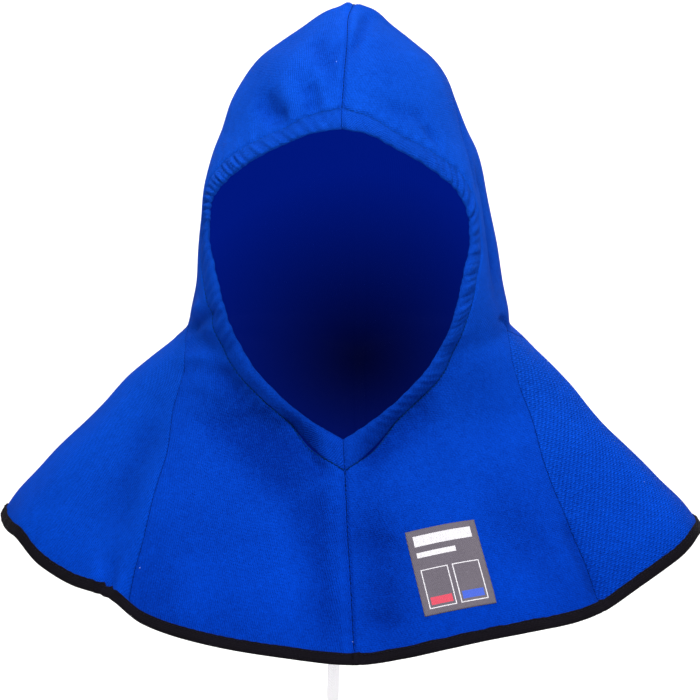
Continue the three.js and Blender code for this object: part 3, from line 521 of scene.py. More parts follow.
def seam_lines(side):
    """The seams of one half as polylines on the skin."""
    front = front_run(side)
    split = (CROWN_ROWS + FACE_ROWS) * ROW_STEPS
    ridge = (np.zeros(40), np.linspace(0, math.pi, 40))
    back = (np.linspace(0, 2, 80), np.full(80, math.pi))
    crown = (front[0][CROWN_ROWS * ROW_STEPS::-1], front[1][CROWN_ROWS * ROW_STEPS::-1])
    first = ROWS_ABOVE_POINT * ROW_STEPS
    gussets = [tuple(run[first:] for run in gusset_run(side, degrees))
               for degrees in (GUSSET_FRONT[side], GUSSET_BACK)]
    places = {"crown": joined(crown, ridge, back), "front": tuple(run[split:] for run in front),
              "stitch": face_lines(side, FACE_ROWS * ROW_STEPS)[1],
              "gusset_front": gussets[0], "gusset_back": gussets[1]}
    return {name: resampled(skin(side, *run), 4.0) for name, run in places.items()}


LINES = {side: seam_lines(side) for side in (1, -1)}
CREASE_LINES = crease_lines()
_waves = np.random.default_rng(11)
WAVE_TURNS = unit(_waves.normal(size=(WAVES, 3))) * (2 * math.pi / _waves.uniform(38, 110, (WAVES, 1)))
WAVE_STARTS = _waves.uniform(0, 2 * math.pi, WAVES)


def ripple(along, pitch, seed):
    """Uneven wave along a line, from -1 to 1."""
    phase = along * 2 * math.pi / pitch
    slow = np.sin(along / (2.1 * pitch) + seed) + 0.6 * np.sin(along / (0.83 * pitch) + 2.3 * seed)
    return np.sin(phase + 1.3 * slow) * (0.55 + 0.45 * np.sin(along / (3.4 * pitch) + 1.7 * seed))


def roll(away, depth, width):
    return -depth * np.exp(-(away / width) ** 2)


def broad_relief(points):
    """Creases, dents and the slow unevenness of the cloth, in millimetres outwards."""
    height = 0.55 * np.sin(points @ WAVE_TURNS.T + WAVE_STARTS).sum(-1) / math.sqrt(WAVES / 2)
    for line, width, depth in CREASE_LINES:
        low, high = line.min(0) - 3 * width, line.max(0) + 3 * width
        near = np.all((points > low) & (points < high), axis=-1)
        if not near.any():
            continue
        away, along, length = line_field(points[near], line)
        ends = (smooth(along, -0.35 * width, 0.22 * length)
                * smooth(length - along, -0.35 * width, 0.22 * length))
        height[near] -= depth * np.exp(-(away / width) ** 2) * (0.25 + 0.75 * ends)
    lump = np.sum(((points - PEAK_NUB) / LUMP_SIZE) ** 2, -1)
    return height + 1.5 * np.exp(-lump)


def seam_relief(side, points, seams):
    """How the cloth rolls in at seams and puckers beside them, in millimetres outwards."""
    height = np.zeros(points.shape[:-1])
    for n, name in enumerate(seams):
        away, along, _ = line_field(points, LINES[side][name])
        seed = n + 1.5 * side
        if name == "stitch":
            depth, width, pucker = STITCHED_SEAM
            gather = pucker * ripple(along, 11.0, seed) * np.exp(-away / 9) * smooth(away, 0, 4)
            height += roll(away, depth, width) * mix(1, 0.12, smooth(along, 170, 250)) + gather
        else:
            depth, width, pucker = FLAT_SEAM if name.startswith("gusset") else TURNED_SEAM
            gather = pucker * ripple(along, 8.5, seed) * np.exp(-away / 5) * smooth(away, 0, 3)
            height += roll(away, depth, width) + gather
        if name == "front" and side < 0:
            height += 0.8 * smooth(8.4 - away, 0, 1.3) * smooth(along, 12, 26)
        if name.startswith("gusset"):
            height += 0.2 * smooth(7.5 - away, 0, 1.6)
    return height


PANEL_SEAMS = ("crown", "front", "stitch", "gusset_front", "gusset_back")
GUSSET_SEAMS = ("gusset_front", "gusset_back")


# ---- meshes ----

GRAIN_LEVELS, GRAIN_TURNS = 120, 90
GRAIN_SPINE = 22                    # the turn whose line down the cloth the grain is measured on


def grain_table(side):
    """Length round the skin from the centre front and down it from the peak, over levels and turns."""
    levels, turns = np.linspace(0, 2, GRAIN_LEVELS + 1), np.linspace(0, math.pi, GRAIN_TURNS + 1)
    points = skin(side, levels[:, None], turns[None, :])
    steps = np.linalg.norm(np.diff(points, axis=1), axis=-1)
    across = np.concatenate([np.zeros((GRAIN_LEVELS + 1, 1)), np.cumsum(steps, 1)], 1)
    return across, lengths(points[:, GRAIN_SPINE])


GRAIN = {side: grain_table(side) for side in (1, -1)}


def grain(side, v, turn):
    """Place in the flat cloth, in metres: across from the centre front, and down from the peak."""
    across, down = GRAIN[side]
    i, k = np.clip(v, 0, 1.9999) * (GRAIN_LEVELS // 2), np.clip(turn / math.pi, 0, 0.9999) * GRAIN_TURNS
    row, column = i.astype(int), k.astype(int)
    top = mix(across[row, column], across[row, column + 1], k - column)
    low = mix(across[row + 1, column], across[row + 1, column + 1], k - column)
    depth = np.interp(v, np.linspace(0, 2, GRAIN_LEVELS + 1), down)
    return np.stack([side * mix(top, low, i - row), depth], -1) * MM


def boundary(quads):
    """Directed edges that only one quad has."""
    edges = np.concatenate([quads[:, [k, (k + 1) % 4]] for k in range(4)])
    key = np.sort(edges, axis=1)
    _, index, count = np.unique(key, axis=0, return_index=True, return_counts=True)
    return edges[index[count == 1]]


def piece(name, points, faces, grain_uv, materials, face_material=None, relief=None):
    """New mesh object from points in millimetres.

    The relief goes to its material, which paints shade into the folds and highlight onto the ridges.
    """
    mesh = bpy.data.meshes.new(name)
    groups = faces if isinstance(faces, list) else [faces]
    faces = [face for group in groups for face in np.asarray(group).tolist()]
    mesh.from_pydata((np.asarray(points) * MM).tolist(), [], faces)
    loops = np.empty(len(mesh.loops), int)
    mesh.loops.foreach_get("vertex_index", loops)
    layer = mesh.uv_layers.new(name="grain")
    layer.data.foreach_set("uv", np.asarray(grain_uv, np.float32)[loops].ravel())
    if relief is not None:
        painted_shade_heights = mesh.attributes.new("relief", "FLOAT", "POINT")
        painted_shade_heights.data.foreach_set("value", np.asarray(relief, np.float32).ravel())
    for material in materials:
        mesh.materials.append(material)
    if face_material is not None:
        mesh.polygons.foreach_set("material_index", np.asarray(face_material, np.int32))
    mesh.polygons.foreach_set("use_smooth", np.ones(len(faces), bool))
    mesh.update()
    thing = bpy.data.objects.new(name, mesh)
    bpy.context.collection.objects.link(thing)
    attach(thing, BODY)
    return thing


def two_layers(name, outer, normals, quads, grain_uv, thickness, materials):
    """Cloth with an outside, an inside and a rim. The inside takes the last material."""
    count = len(outer)
    rim = boundary(quads)
    rim = np.stack([rim[:, 1], rim[:, 0], rim[:, 0] + count, rim[:, 1] + count], -1)
    points = np.concatenate([outer, outer - normals * thickness])
    faces = np.concatenate([quads, quads[:, ::-1] + count, rim])
    kind = np.concatenate([np.zeros(len(quads)), np.full(len(quads), len(materials) - 1), np.zeros(len(rim))])
    uv = np.concatenate([grain_uv, grain_uv])
    # Its relief heights feed the painted shade in folds and painted highlight on ridges.
    return piece(name, points, faces, uv, materials, kind, np.tile(broad_relief(outer), 2))


def facing(side, quads):
    """Grid quads wound so that they face outwards on either side."""
    return quads if side < 0 else quads[:, ::-1]


def grid_quads(index, side):
    quads = np.stack([index[:-1, :-1], index[:-1, 1:], index[1:, 1:], index[1:, :-1]], -1).reshape(-1, 4)
    return facing(side, quads)


def ring_quads(rings, size, closed):
    """Quads round a run of rings of equal length."""
    last = rings if closed else rings - 1
    i, k = np.meshgrid(np.arange(last), np.arange(size), indexing="ij")
    j, n = (i + 1) % rings, (k + 1) % size
    return np.stack([i * size + k, i * size + n, j * size + n, j * size + k], -1).reshape(-1, 4)


# ---- shapes of the pieces ----

def lifted(side, v, turn, seams, lift=0.0):
    """Points of the cloth's outer face with its relief, and the skin's normals."""
    base, normal = skin(side, v, turn), directions(side, v, turn)[2]
    height = broad_relief(base) + seam_relief(side, base, seams) + CLOTH / 2 + lift
    return base + normal * height[..., None] + np.array([side * SEAM_GAP / 2, 0, 0]), normal


def hood_half(side, materials, name):
    """One half of the hood and cape, slit below the neck for the gusset."""
    rows = LAST_ROW * ROW_STEPS + 1
    point_row = ROWS_ABOVE_POINT * ROW_STEPS
    front_line, back_line = gusset_run(side, GUSSET_FRONT[side]), gusset_run(side, GUSSET_BACK)
    centre_back = down_run(side, lambda v: np.full(np.shape(v), math.pi), math.pi)
    places = [row_places(side, front_run(side), front_line, clustered(FRONT_COLUMNS), rows),
              row_places(side, back_line, centre_back, clustered(BACK_COLUMNS), rows)]
    outer, normals, uv, quads, start = [], [], [], [], 0
    index_front = None
    for v, turn in places:
        points, normal = lifted(side, v, turn, PANEL_SEAMS)
        index = start + np.arange(v.size).reshape(v.shape)
        if index_front is not None:
            index[:point_row + 1, 0] = index_front[:point_row + 1, -1]
        quads.append(grid_quads(index, side))
        index_front = index
        outer.append(points.reshape(-1, 3))
        normals.append(normal.reshape(-1, 3))
        uv.append(grain(side, v, turn).reshape(-1, 2))
        start += v.size
    return trimmed(name, np.concatenate(outer), np.concatenate(normals), np.concatenate(quads),
                   np.concatenate(uv), materials)


def trimmed(name, outer, normals, quads, uv, materials):
    """Cloth without the points that no quad uses."""
    used, quads = np.unique(quads, return_inverse=True)
    return two_layers(name, outer[used], normals[used], quads.reshape(-1, 4), uv[used], CLOTH, materials)


def shoulder_gusset(side, materials, name):
    """The triangle over a shoulder, a seam gap clear of the slit that it fills."""
    first = ROWS_ABOVE_POINT * ROW_STEPS + 1
    lines = [tuple(run[first:] for run in gusset_run(side, degrees))
             for degrees in (GUSSET_FRONT[side], GUSSET_BACK)]
    rows = len(lines[0][0])
    v, turn = row_places(side, *lines, clustered(GUSSET_COLUMNS), rows)
    around = np.linalg.norm(directions(side, v, turn)[1], axis=-1)
    span = np.sum(around, 1, keepdims=True) / v.shape[1] * (turn[:, -1:] - turn[:, :1])
    inset = np.minimum(1.6 * SEAM_GAP / np.maximum(span, 1e-6), 0.3)
    turn = mix(turn[:, :1], turn[:, -1:], inset + (1 - 2 * inset) * clustered(GUSSET_COLUMNS))
    points, normal = lifted(side, v, turn, GUSSET_SEAMS)
    quads = grid_quads(np.arange(v.size).reshape(v.shape), side)
    return two_layers(name, points.reshape(-1, 3), normal.reshape(-1, 3), quads,
                      grain(side, v, turn).reshape(-1, 2), CLOTH, materials)


def flattened_ring(count, square):
    """Cosine and sine round a ring. The higher the exponent, the squarer its corners."""
    angle = 2 * math.pi * (np.arange(count) + 0.5) / count
    size = (np.abs(np.cos(angle)) ** square + np.abs(np.sin(angle)) ** square) ** (1 / square)
    return np.cos(angle) / size, np.sin(angle) / size


CASING_STATIONS = FACE_ROWS * 24
CASING_RING = 26
CASING_SQUARE = 2.6
CASING_GIRTH = 36                   # length round the casing, for the place in its flat cloth
CORD_STATIONS, CORD_RING = 190, 28
CORD_SQUARE = 3.2
# How strongly the casing is gathered. Columns: share of the way from its top to its point, strength.
GATHERS = {
    -1: ((0.0, 0.55), (0.06, 0.45), (0.14, 0.50), (0.22, 0.75), (0.29, 1.45), (0.37, 1.60), (0.43, 0.85),
         (0.55, 0.55), (0.66, 0.50), (0.80, 0.30), (1.0, 0.25)),
    1: ((0.0, 0.60), (0.04, 0.35), (0.16, 0.32), (0.26, 0.70), (0.34, 0.80), (0.44, 0.45), (0.53, 0.90),
        (0.58, 0.95), (0.66, 0.50), (0.80, 0.30), (1.0, 0.20)),
}


def casing(side, materials, name):
    """The folded channel round half of the face opening, gathered on its cord."""
    edge, stitch = face_lines(side, CASING_STATIONS)
    share = np.linspace(0, 1, CASING_STATIONS + 1)
    shift = np.array([side * SEAM_GAP / 2, 0, 0])
    start, normal = skin(side, *edge), directions(side, *edge)[2]
    end = skin(side, *stitch)
    across = end - start
    half = np.linalg.norm(across, axis=-1, keepdims=True) / 2
    middle = (start + end) / 2
    along = lengths(middle)
    middle = middle + shift
    edge_relief, stitch_relief = broad_relief(start)[:, None], broad_relief(end)[:, None]
    across = unit(across)
    strength = table_curve(*zip(*GATHERS[side]))(share)
    closes = smooth(share, 0, 0.02) * smooth(1 - share, 0, 0.03)
    cosine, sine = flattened_ring(CASING_RING, CASING_SQUARE)
    slant = along[:, None] + 4.0 * side * cosine[None, :]
    sharp = np.exp(-(ripple(slant, 9.4, 4.0 + side) / 0.42) ** 2)
    pleat = strength[:, None] * (0.62 * ripple(slant, 7.4, 1.0 + side) + 0.42 * ripple(slant, 15.5, 2.0 + side)
                                 - 0.6 * (sharp - 0.4))
    edge_move = (closes * strength * 0.8 * ripple(along, 13.0, 3.1 + side))[:, None]
    taper = mix(1.0, 0.36, smooth((cosine + 1) / 2, 0.25, 1.0))[None, :]
    relief = mix(edge_relief, stitch_relief, (cosine + 1) / 2)
    fade = (0.25 + 0.75 * closes)[:, None]
    end_roll = 1.7 * np.exp(-(np.minimum(along, along[-1] - along) / 1.6) ** 2)
    rings = []
    for inset in (0.0, CASING_WALL):
        least = 0.12 + 0.1 * (inset == 0)
        thick = np.maximum((CASING_THICKNESS / 2 + 1.05 * fade * pleat) * taper - inset, least)
        reach = np.maximum(half - inset, 0.4) * cosine[None, :]
        reach = reach - edge_move * smooth(-cosine, 0.2, 1.0)[None, :]
        height = (thick * sine[None, :]
                  + 1.1 * fade * pleat * (sine[None, :] > 0) * smooth(1 - cosine, 0.0, 0.4)[None, :])
        height = height + relief - end_roll[:, None]
        rings.append(middle[:, None] + across[:, None] * reach[..., None] + normal[:, None] * height[..., None])
    outer, inner = (ring.reshape(-1, 3) for ring in rings)
    count, stations = len(outer), CASING_STATIONS + 1
    quads = ring_quads(stations, CASING_RING, False)
    k = np.arange(CASING_RING)
    n = (k + 1) % CASING_RING
    last = (stations - 1) * CASING_RING
    caps = [np.stack([k, n, count + n, count + k], -1),
            np.stack([last + n, last + k, count + last + k, count + last + n], -1)]
    faces = np.concatenate([quads, quads[:, ::-1] + count, *caps])
    if side > 0:
        faces = faces[:, ::-1]
    round_way = np.tile((np.arange(CASING_RING) / CASING_RING * CASING_GIRTH)[None, :], (stations, 1))
    uv = np.stack([np.broadcast_to(along[:, None], round_way.shape), round_way], -1).reshape(-1, 2) * MM
    # Pleat and relief heights for the painted shade and highlight in the casing's folds.
    fold_shade_heights = np.tile((pleat * 1.8 + relief).ravel(), 2)
    return piece(name, np.concatenate([outer, inner]), faces, np.concatenate([uv, uv]), materials, relief=fold_shade_heights)


# Outline of the folded binding, as (height above the hem, distance from the middle of the cloth).
BINDING_PROFILE = (
    (6.6, 1.35), (6.3, 1.85), (5.6, 1.95), (4.9, 1.72), (4.1, 1.98), (2.9, 2.05), (1.5, 2.05), (0.1, 1.95),
    (-0.8, 1.45), (-1.3, 0.6), (-1.3, -0.6), (-0.8, -1.45), (0.2, -1.9), (2.2, -2.0), (4.9, -1.85),
    (6.4, -1.75), (6.6, -1.3), (6.3, -0.8), (3.0, -0.75), (0.2, -0.6), (0.2, 0.6), (3.0, 0.75), (6.3, 0.8),
)
BINDING_STATIONS = 430
BINDING_SEWN_HEIGHT, BINDING_SEWN_OUT = 4.9, 1.98     # where its stitches lie on the profile
# Where the tape is joined or pinched. Columns: turn in degrees, width in millimetres, depth.
BINDING_NICKS = (
    (0.9, 0.7, 0.9), (-43.4, 1.6, -1.1), (-42.4, 1.4, 1.7), (-41.3, 1.3, -1.2), (-40.3, 1.2, 1.8),
    (-39.0, 1.4, -1.0), (46.4, 1.2, 1.2), (47.1, 1.6, -0.5), (151.0, 0.7, 0.9),
)


def hem_places():
    """Turns round the whole hem, the left half and then the right half back to the front."""
    turn = np.linspace(0, math.pi, BINDING_STATIONS + 1)
    return [(1, turn), (-1, turn[-2:0:-1])]


def hem_frames():
    """Hem and top of the binding at each station, with the outward normals and the length run."""
    parts = []
    for side, turn in hem_places():
        level = np.full(turn.shape, 2.0)
        top = binding_level(side, turn)
        hem_point, hem_normal = skin(side, level, turn), directions(side, level, turn)[2]
        top_point, top_normal = skin(side, top, turn), directions(side, top, turn)[2]
        parts.append((hem_point, top_point, hem_normal, top_normal, side * np.degrees(turn)))
    hem, top, low, high, degrees = (np.concatenate([part[k] for part in parts]) for k in range(5))
    step = np.linalg.norm(np.roll(hem, -1, 0) - hem, axis=-1)
    return hem, top, low, high, degrees, np.concatenate([[0], np.cumsum(step)[:-1]])


def binding(materials, name):
    """The tape folded over the hem, all the way round."""
    hem, top, low, high, degrees, along = hem_frames()
    waver = 0.26 * ripple(along, 23.0, 0.7) + 0.16 * ripple(along, 7.0, 1.9)
    swell = 0.14 * ripple(along, 15.0, 2.9)
    nick = np.zeros(len(hem))
    for turn, width, depth in BINDING_NICKS:
        here = np.argmin(np.abs(degrees - turn))
        nick += depth * np.exp(-((along - along[here]) / width) ** 2)
    rings = []
    for height, out in BINDING_PROFILE:
        tall = height + (waver + 0.7 * nick) * smooth(height, 2.5, 6)
        share = (tall / BINDING_WIDTH)[:, None]
        normal = unit(mix(low, high, np.clip(share, 0, 1)))
        relief = broad_relief(mix(hem, top, share))
        dent = (nick * 0.55 if out > 0 else nick * 0.3) * smooth(abs(out), 0.7, 1.3)
        push = out * (1 + swell) + relief - dent
        lift = np.array([0, 0, 1]) * (0.22 * nick[:, None])
        rings.append(mix(hem, top, share) + normal * push[:, None] + lift)
    points = np.stack(rings, 1)
    size = len(BINDING_PROFILE)
    quads = ring_quads(len(hem), size, True)
    girth = np.linspace(0, 24, size)
    uv = np.stack(np.broadcast_arrays(along[:, None], girth[None, :]), -1).reshape(-1, 2) * MM
    return piece(name, points.reshape(-1, 3), quads, uv, materials)


def patch_points(rows, columns, width, height, lift):
    """Points of a rectangle bent with the chest, and their places in it from 0 to 1."""
    level, turn = PATCH_LEVEL, math.radians(PATCH_TURN)
    down, _, normal = (row[0] for row in directions(1, np.array([level]), np.array([turn])))
    along = unit(down)
    across = unit(np.cross(normal, along))
    i, k = np.meshgrid(np.linspace(-0.5, 0.5, rows + 1), np.linspace(-0.5, 0.5, columns + 1), indexing="ij")
    reach = i[..., None] * height * along + k[..., None] * width * across
    distance = np.linalg.norm(reach, axis=-1) + 1e-6
    v, t = walk(1, np.full(i.shape, level), np.full(i.shape, turn), reach + 1e-9, distance)
    points, normals = lifted(1, v, t, PANEL_SEAMS, lift)
    return points, normals, np.stack([k + 0.5, i + 0.5], -1)


def stitches(name, starts, ends, normals, radius, material):
    """Threads sewn down between pairs of points: each a short bar whose ends dive into the cloth."""
    steps = np.array([-1.0, -0.8, -0.3, 0.3, 0.8, 1.0])
    swell = np.array([0.35, 0.85, 1.0, 1.0, 0.85, 0.35])
    rise = np.array([-1.5, -0.3, 0.25, 0.25, -0.3, -1.5]) * radius
    angle = 2 * math.pi * np.arange(6) / 6
    middle, reach = (starts + ends) / 2, (ends - starts) / 2
    side = unit(np.cross(reach, normals))
    centre = middle[:, None] + reach[:, None] * steps[None, :, None] + normals[:, None] * rise[None, :, None]
    ring = (side[:, None, None] * np.cos(angle)[None, None, :, None]
            + normals[:, None, None] * np.sin(angle)[None, None, :, None])
    points = (centre[:, :, None] + ring * (swell * radius)[None, :, None, None]).reshape(-1, 3)
    one = ring_quads(6, 6, False)
    faces = (one[None] + 36 * np.arange(len(starts))[:, None, None]).reshape(-1, 4)
    caps = [[base + k for k in order] for base in range(0, 36 * len(starts), 36)
            for order in ((5, 4, 3, 2, 1, 0), (30, 31, 32, 33, 34, 35))]
    uv = np.zeros((len(points), 2))
    return piece(name, points, [faces, caps], uv, [material])


def seam_stitches(side, run, seams, pitch, length, lift):
    """Starts, ends and normals of the stitches along a run of places."""
    points = skin(side, *run)
    along = lengths(points)
    count = int(along[-1] / pitch)
    ends = []
    for offset in (-length / 2, length / 2):
        at = (np.arange(count) + 0.5) * pitch + offset
        v, turn = np.interp(at, along, run[0]), np.interp(at, along, run[1])
        ends.append(lifted(side, v, turn, seams, lift))
    return ends[0][0], ends[1][0], unit(ends[0][1] + ends[1][1])


def allowance(name, side, run, reach, materials, dip=1.45, drop=0.012):
    """Strip of cloth behind a seam: the turned-in edges of the two pieces that meet there."""
    base, normal = skin(side, *run), directions(side, *run)[2]
    along = np.gradient(base, axis=0)
    aside = unit(np.cross(along, normal))
    offsets = np.linspace(*reach, 9)
    points = base[:, None] + aside[:, None] * offsets[None, :, None]
    depth = -CLOTH / 2 - 0.35 + roll(np.abs(offsets), dip, 2.2)
    depth = depth[None, :] + broad_relief(points) - drop * offsets[None, :] ** 2
    points = points + normal[:, None] * depth[..., None]
    normals = np.broadcast_to(normal[:, None], points.shape)
    quads = grid_quads(np.arange(points.shape[0] * 9).reshape(-1, 9), -1)
    length = lengths(base)
    uv = np.stack(np.broadcast_arrays(offsets[None, :], length[:, None]), -1).reshape(-1, 2) * MM
    return two_layers(name, points.reshape(-1, 3), normals.reshape(-1, 3), quads, uv, 0.8, materials)


# Route of the drawcord's middle line, in metres, as the frame has it.
CORD_ROUTE = (
    (-0.00028, -0.09357, -0.28640), (-0.00028, -0.09147, -0.29060), (-0.00028, -0.09027, -0.29550),
    (-0.00028, -0.08987, -0.30100), (-0.00028, -0.09007, -0.32000), (-0.00028, -0.09097, -0.34500),
    (-0.00038, -0.09237, -0.37500), (-0.00068, -0.09377, -0.41000), (-0.00138, -0.09497, -0.44000),
    (-0.00238, -0.09557, -0.47000), (-0.00318, -0.09577, -0.49200),
)


def curve_points(route, count):
    """Evenly spaced points of a centripetal curve through a route."""
    p = np.array(route, float)
    p = np.concatenate([[2 * p[0] - p[1]], p, [2 * p[-1] - p[-2]]])
    out = []
    for i in range(len(p) - 3):
        p0, p1, p2, p3 = p[i:i + 4]
        t = np.concatenate([[0], np.cumsum(np.sqrt(np.linalg.norm(np.diff(p[i:i + 4], axis=0), axis=1)))])
        x = np.linspace(t[1], t[2], 24, endpoint=i == len(p) - 4)[:, None]
        a1 = (t[1] - x) / (t[1] - t[0]) * p0 + (x - t[0]) / (t[1] - t[0]) * p1
        a2 = (t[2] - x) / (t[2] - t[1]) * p1 + (x - t[1]) / (t[2] - t[1]) * p2
        a3 = (t[3] - x) / (t[3] - t[2]) * p2 + (x - t[2]) / (t[3] - t[2]) * p3
        b1 = (t[2] - x) / (t[2] - t[0]) * a1 + (x - t[0]) / (t[2] - t[0]) * a2
        b2 = (t[3] - x) / (t[3] - t[1]) * a2 + (x - t[1]) / (t[3] - t[1]) * a3
        out.append((t[2] - x) / (t[2] - t[1]) * b1 + (x - t[1]) / (t[2] - t[1]) * b2)
    line = np.concatenate(out)
    run = lengths(line)
    at = np.linspace(0, run[-1], count)
    return np.stack([np.interp(at, run, line[:, k]) for k in range(3)], -1), run[-1]


def flat_cord(name, width, thickness, material):
    """Flat woven cord along its route, with soft edges and a plain end."""
    line, length = curve_points(CORD_ROUTE, CORD_STATIONS)
    line = line / MM
    along = unit(np.gradient(line, axis=0))
    across = unit(np.array([1.0, 0, 0]) - along * along[:, :1])
    out = np.cross(along, across)
    run = np.linspace(0, length / MM, len(line))
    cosine, sine = flattened_ring(CORD_RING, CORD_SQUARE)
    wide = width / 2 / MM * (1 - 0.035 + 0.035 * np.sin(run / 6.1) * np.sin(run / 13.7 + 1))[:, None]
    knit = 1 + 0.07 * np.sin(2 * math.pi * run[:, None] / 2.6
                             + np.where(cosine > 0, 1.2, -1.2) * 3 * np.abs(cosine))
    thick = thickness / 2 / MM * (1 - 0.22 * (1 - np.abs(cosine)) ** 2)[None, :] * knit
    end = 1 - 0.5 * smooth(run, run[-1] - 0.9, run[-1])[:, None]
    points = (line[:, None] + across[:, None] * (wide * cosine[None, :])[..., None]
              + out[:, None] * (thick * end * sine[None, :])[..., None])
    count = len(line)
    faces = ring_quads(count, CORD_RING, False)
    caps = [list(range(CORD_RING))[::-1], list(range((count - 1) * CORD_RING, count * CORD_RING))]
    uv = np.stack(np.broadcast_arrays(width / 2 / MM * cosine[None, :], run[:, None]), -1).reshape(-1, 2) * MM
    return piece(name, points.reshape(-1, 3), [faces, caps], uv, [material]), length


# ---- finishes ----

class Value:
    """Output of a node. Python expressions on it add Math nodes."""

    def __init__(self, shader, socket):
        self.shader = shader
        self.socket = socket

    def math(self, operation, *values):
        return self.shader.node("ShaderNodeMath", {"operation": operation}, dict(enumerate(values)))

    def __add__(self, other):
        return self.math("ADD", self, other)

    __radd__ = __add__

    def __sub__(self, other):
        return self.math("SUBTRACT", self, other)

    def __rsub__(self, other):
        return self.math("SUBTRACT", other, self)

    def __mul__(self, other):
        return self.math("MULTIPLY", self, other)

    __rmul__ = __mul__

    def __truediv__(self, other):
        return self.math("DIVIDE", self, other)

    def __pow__(self, other):
        return self.math("POWER", self, other)

    def __gt__(self, other):
        return self.math("GREATER_THAN", self, other)

    def __lt__(self, other):
        return self.math("LESS_THAN", self, other)

    def sine(self):
        return self.math("SINE", self)

    def size(self):
        return self.math("ABSOLUTE", self)

    def clamped(self):
        return self.shader.node("ShaderNodeClamp", {}, {0: self, 1: 0.0, 2: 1.0})


class Shader:
    """A material under construction."""

    def __init__(self, name, **constants):
        self.material = bpy.data.materials.new(name)
        self.material.use_nodes = True
        self.tree = self.material.node_tree
        self.surface = self.tree.nodes["Principled BSDF"]
        for name, value in constants.items():
            self.surface.inputs[name.replace("_", " ")].default_value = value

    def node(self, kind, settings=None, inputs=None, output=0):
        """Adds a node with its settings, then its inputs' values or links, and gives one output."""
        node = self.tree.nodes.new(kind)
        for key, value in (settings or {}).items():
            setattr(node, key, value)
        for key, value in (inputs or {}).items():
            if isinstance(value, Value):
                self.tree.links.new(value.socket, node.inputs[key])
            else:
                node.inputs[key].default_value = value
        return Value(self, node.outputs[output])

    def feed(self, socket, value):
        self.tree.links.new(value.socket, self.surface.inputs[socket])

    def blend(self, share, first, second):
        """Colour between two colours."""
        return self.node("ShaderNodeMix", {"data_type": "RGBA"}, {0: share, 6: first, 7: second}, 2)

    def place(self):
        return self.node("ShaderNodeTexCoord", output="Object")

    def noise(self, place, scale, detail=2.0, roughness=0.5):
        return self.node("ShaderNodeTexNoise", {}, {"Vector": place, "Scale": scale, "Detail": detail,
                                                    "Roughness": roughness})

    def parts(self, vector):
        split = self.node("ShaderNodeSeparateXYZ", {}, {0: vector}).socket.node
        return [Value(self, output) for output in split.outputs]

    def grain(self):
        return self.parts(self.node("ShaderNodeUVMap", {"uv_map": "grain"}))[:2]

    def bump(self, height, distance):
        self.feed("Normal", self.node("ShaderNodeBump", {}, {"Height": height, "Distance": distance,
                                                             "Strength": 1.0}))


def opaque(colour, factor=1.0):
    return tuple(part * factor for part in colour[:3]) + (1.0,)


def ribs(shader, angle, pitch, wander=None):
    """Wave across the cloth, from -1 to 1, whose lines run at an angle to the weft."""
    across, down = shader.grain()
    phase = across * (2 * math.pi * math.sin(angle) / pitch) + down * (2 * math.pi * math.cos(angle) / pitch)
    if wander is not None:
        phase = phase + wander
    return phase.sine()


def twill(name, colour, angle, pitch, depth, contrast=0.46, mottle=0.36, float_angle=None, floats=0.5,
          float_ratio=1.35, calm=0.0, fade=0.3):
    """Cotton twill: slanted ribs broken into floats, lint, uneven dye, and a faint sheen from the shader.

    calm takes contrast off the weave towards the hem, and fade darkens the cloth there as painted shade. The
    relief attribute adds painted shade in folds and painted highlight on ridges, the crown is darkened as
    painted shade, and the light tones above the cape take a painted sheen.
    """
    s = Shader(name, Roughness=0.85, Sheen_Weight=0.05, Sheen_Roughness=0.4, Sheen_Tint=(0.04, 0.30, 1.0, 1.0),
               Specular_IOR_Level=0.015)
    place = s.place()
    slow, lint = s.noise(place, 26.0, 3.0, 0.6), s.noise(place, 1100.0, 2.0)
    wander = slow * 6.0 + s.noise(place, 150.0, 2.0) * 3.2
    rib = ribs(s, angle, pitch, wander)
    if float_angle is None:
        float_angle = angle + math.radians(74)
    yarn = ribs(s, float_angle, pitch * float_ratio, wander)
    weave = rib * (1 - floats) + rib * yarn * (0.7 * floats) + yarn * (0.3 * floats)
    s.bump(weave + (lint - 0.5) * 1.4, depth)
    patchy, blotch = s.noise(place, 9.0, 4.0, 0.62), s.noise(place, 190.0, 3.0, 0.6)
    height = s.parts(place)[2]
    # low and crown mark painted shade: darker towards the hem and darker on the crown.
    low, crown = (height * -4.0 - 0.5).clamped(), (height * 12.0 + 0.6).clamped()
    # Relief heights paint shade into folds and highlight onto ridges.
    print_wear_and_fold_shade = s.node("ShaderNodeAttribute", {"attribute_name": "relief"}, output=2) * 0.12
    tone = (weave * (contrast * (1 - low * calm)) + (lint - 0.5) * 1.5 + (blotch - 0.5) * (1.6 * mottle)
            + (patchy - 0.5) * (1.5 * mottle) + (slow - 0.5) * mottle + print_wear_and_fold_shade - low * fade - crown * 0.25)
    share = (0.5 + tone * 0.5).clamped()
    # Painted sheen: the light tones above the cape are paler and redder.
    painted_sheen = (colour[0] * 2 + 0.0042, colour[1] * 1.8, min(colour[2] * 1.42, 1.0))
    pale = s.blend(low, opaque(painted_sheen), opaque((colour[0], colour[1] * 1.2, colour[2] * 1.32)))
    deep = (colour[0] * 0.3, colour[1] * 0.29, colour[2] * 0.4)
    cloth = s.blend(share, opaque(deep), pale)
    fleck = s.node("ShaderNodeTexVoronoi", {}, {"Vector": place, "Scale": 42.0})
    cell = s.parts(Value(s, fleck.socket.node.outputs["Color"]))[0]
    specks = (fleck < 0.017) * (cell > 0.62) * 0.55
    s.feed("Base Color", s.blend(specks, cloth, (0.35, 0.45, 0.95, 1.0)))
    s.feed("Roughness", 0.78 + lint * 0.14)
    return s.material


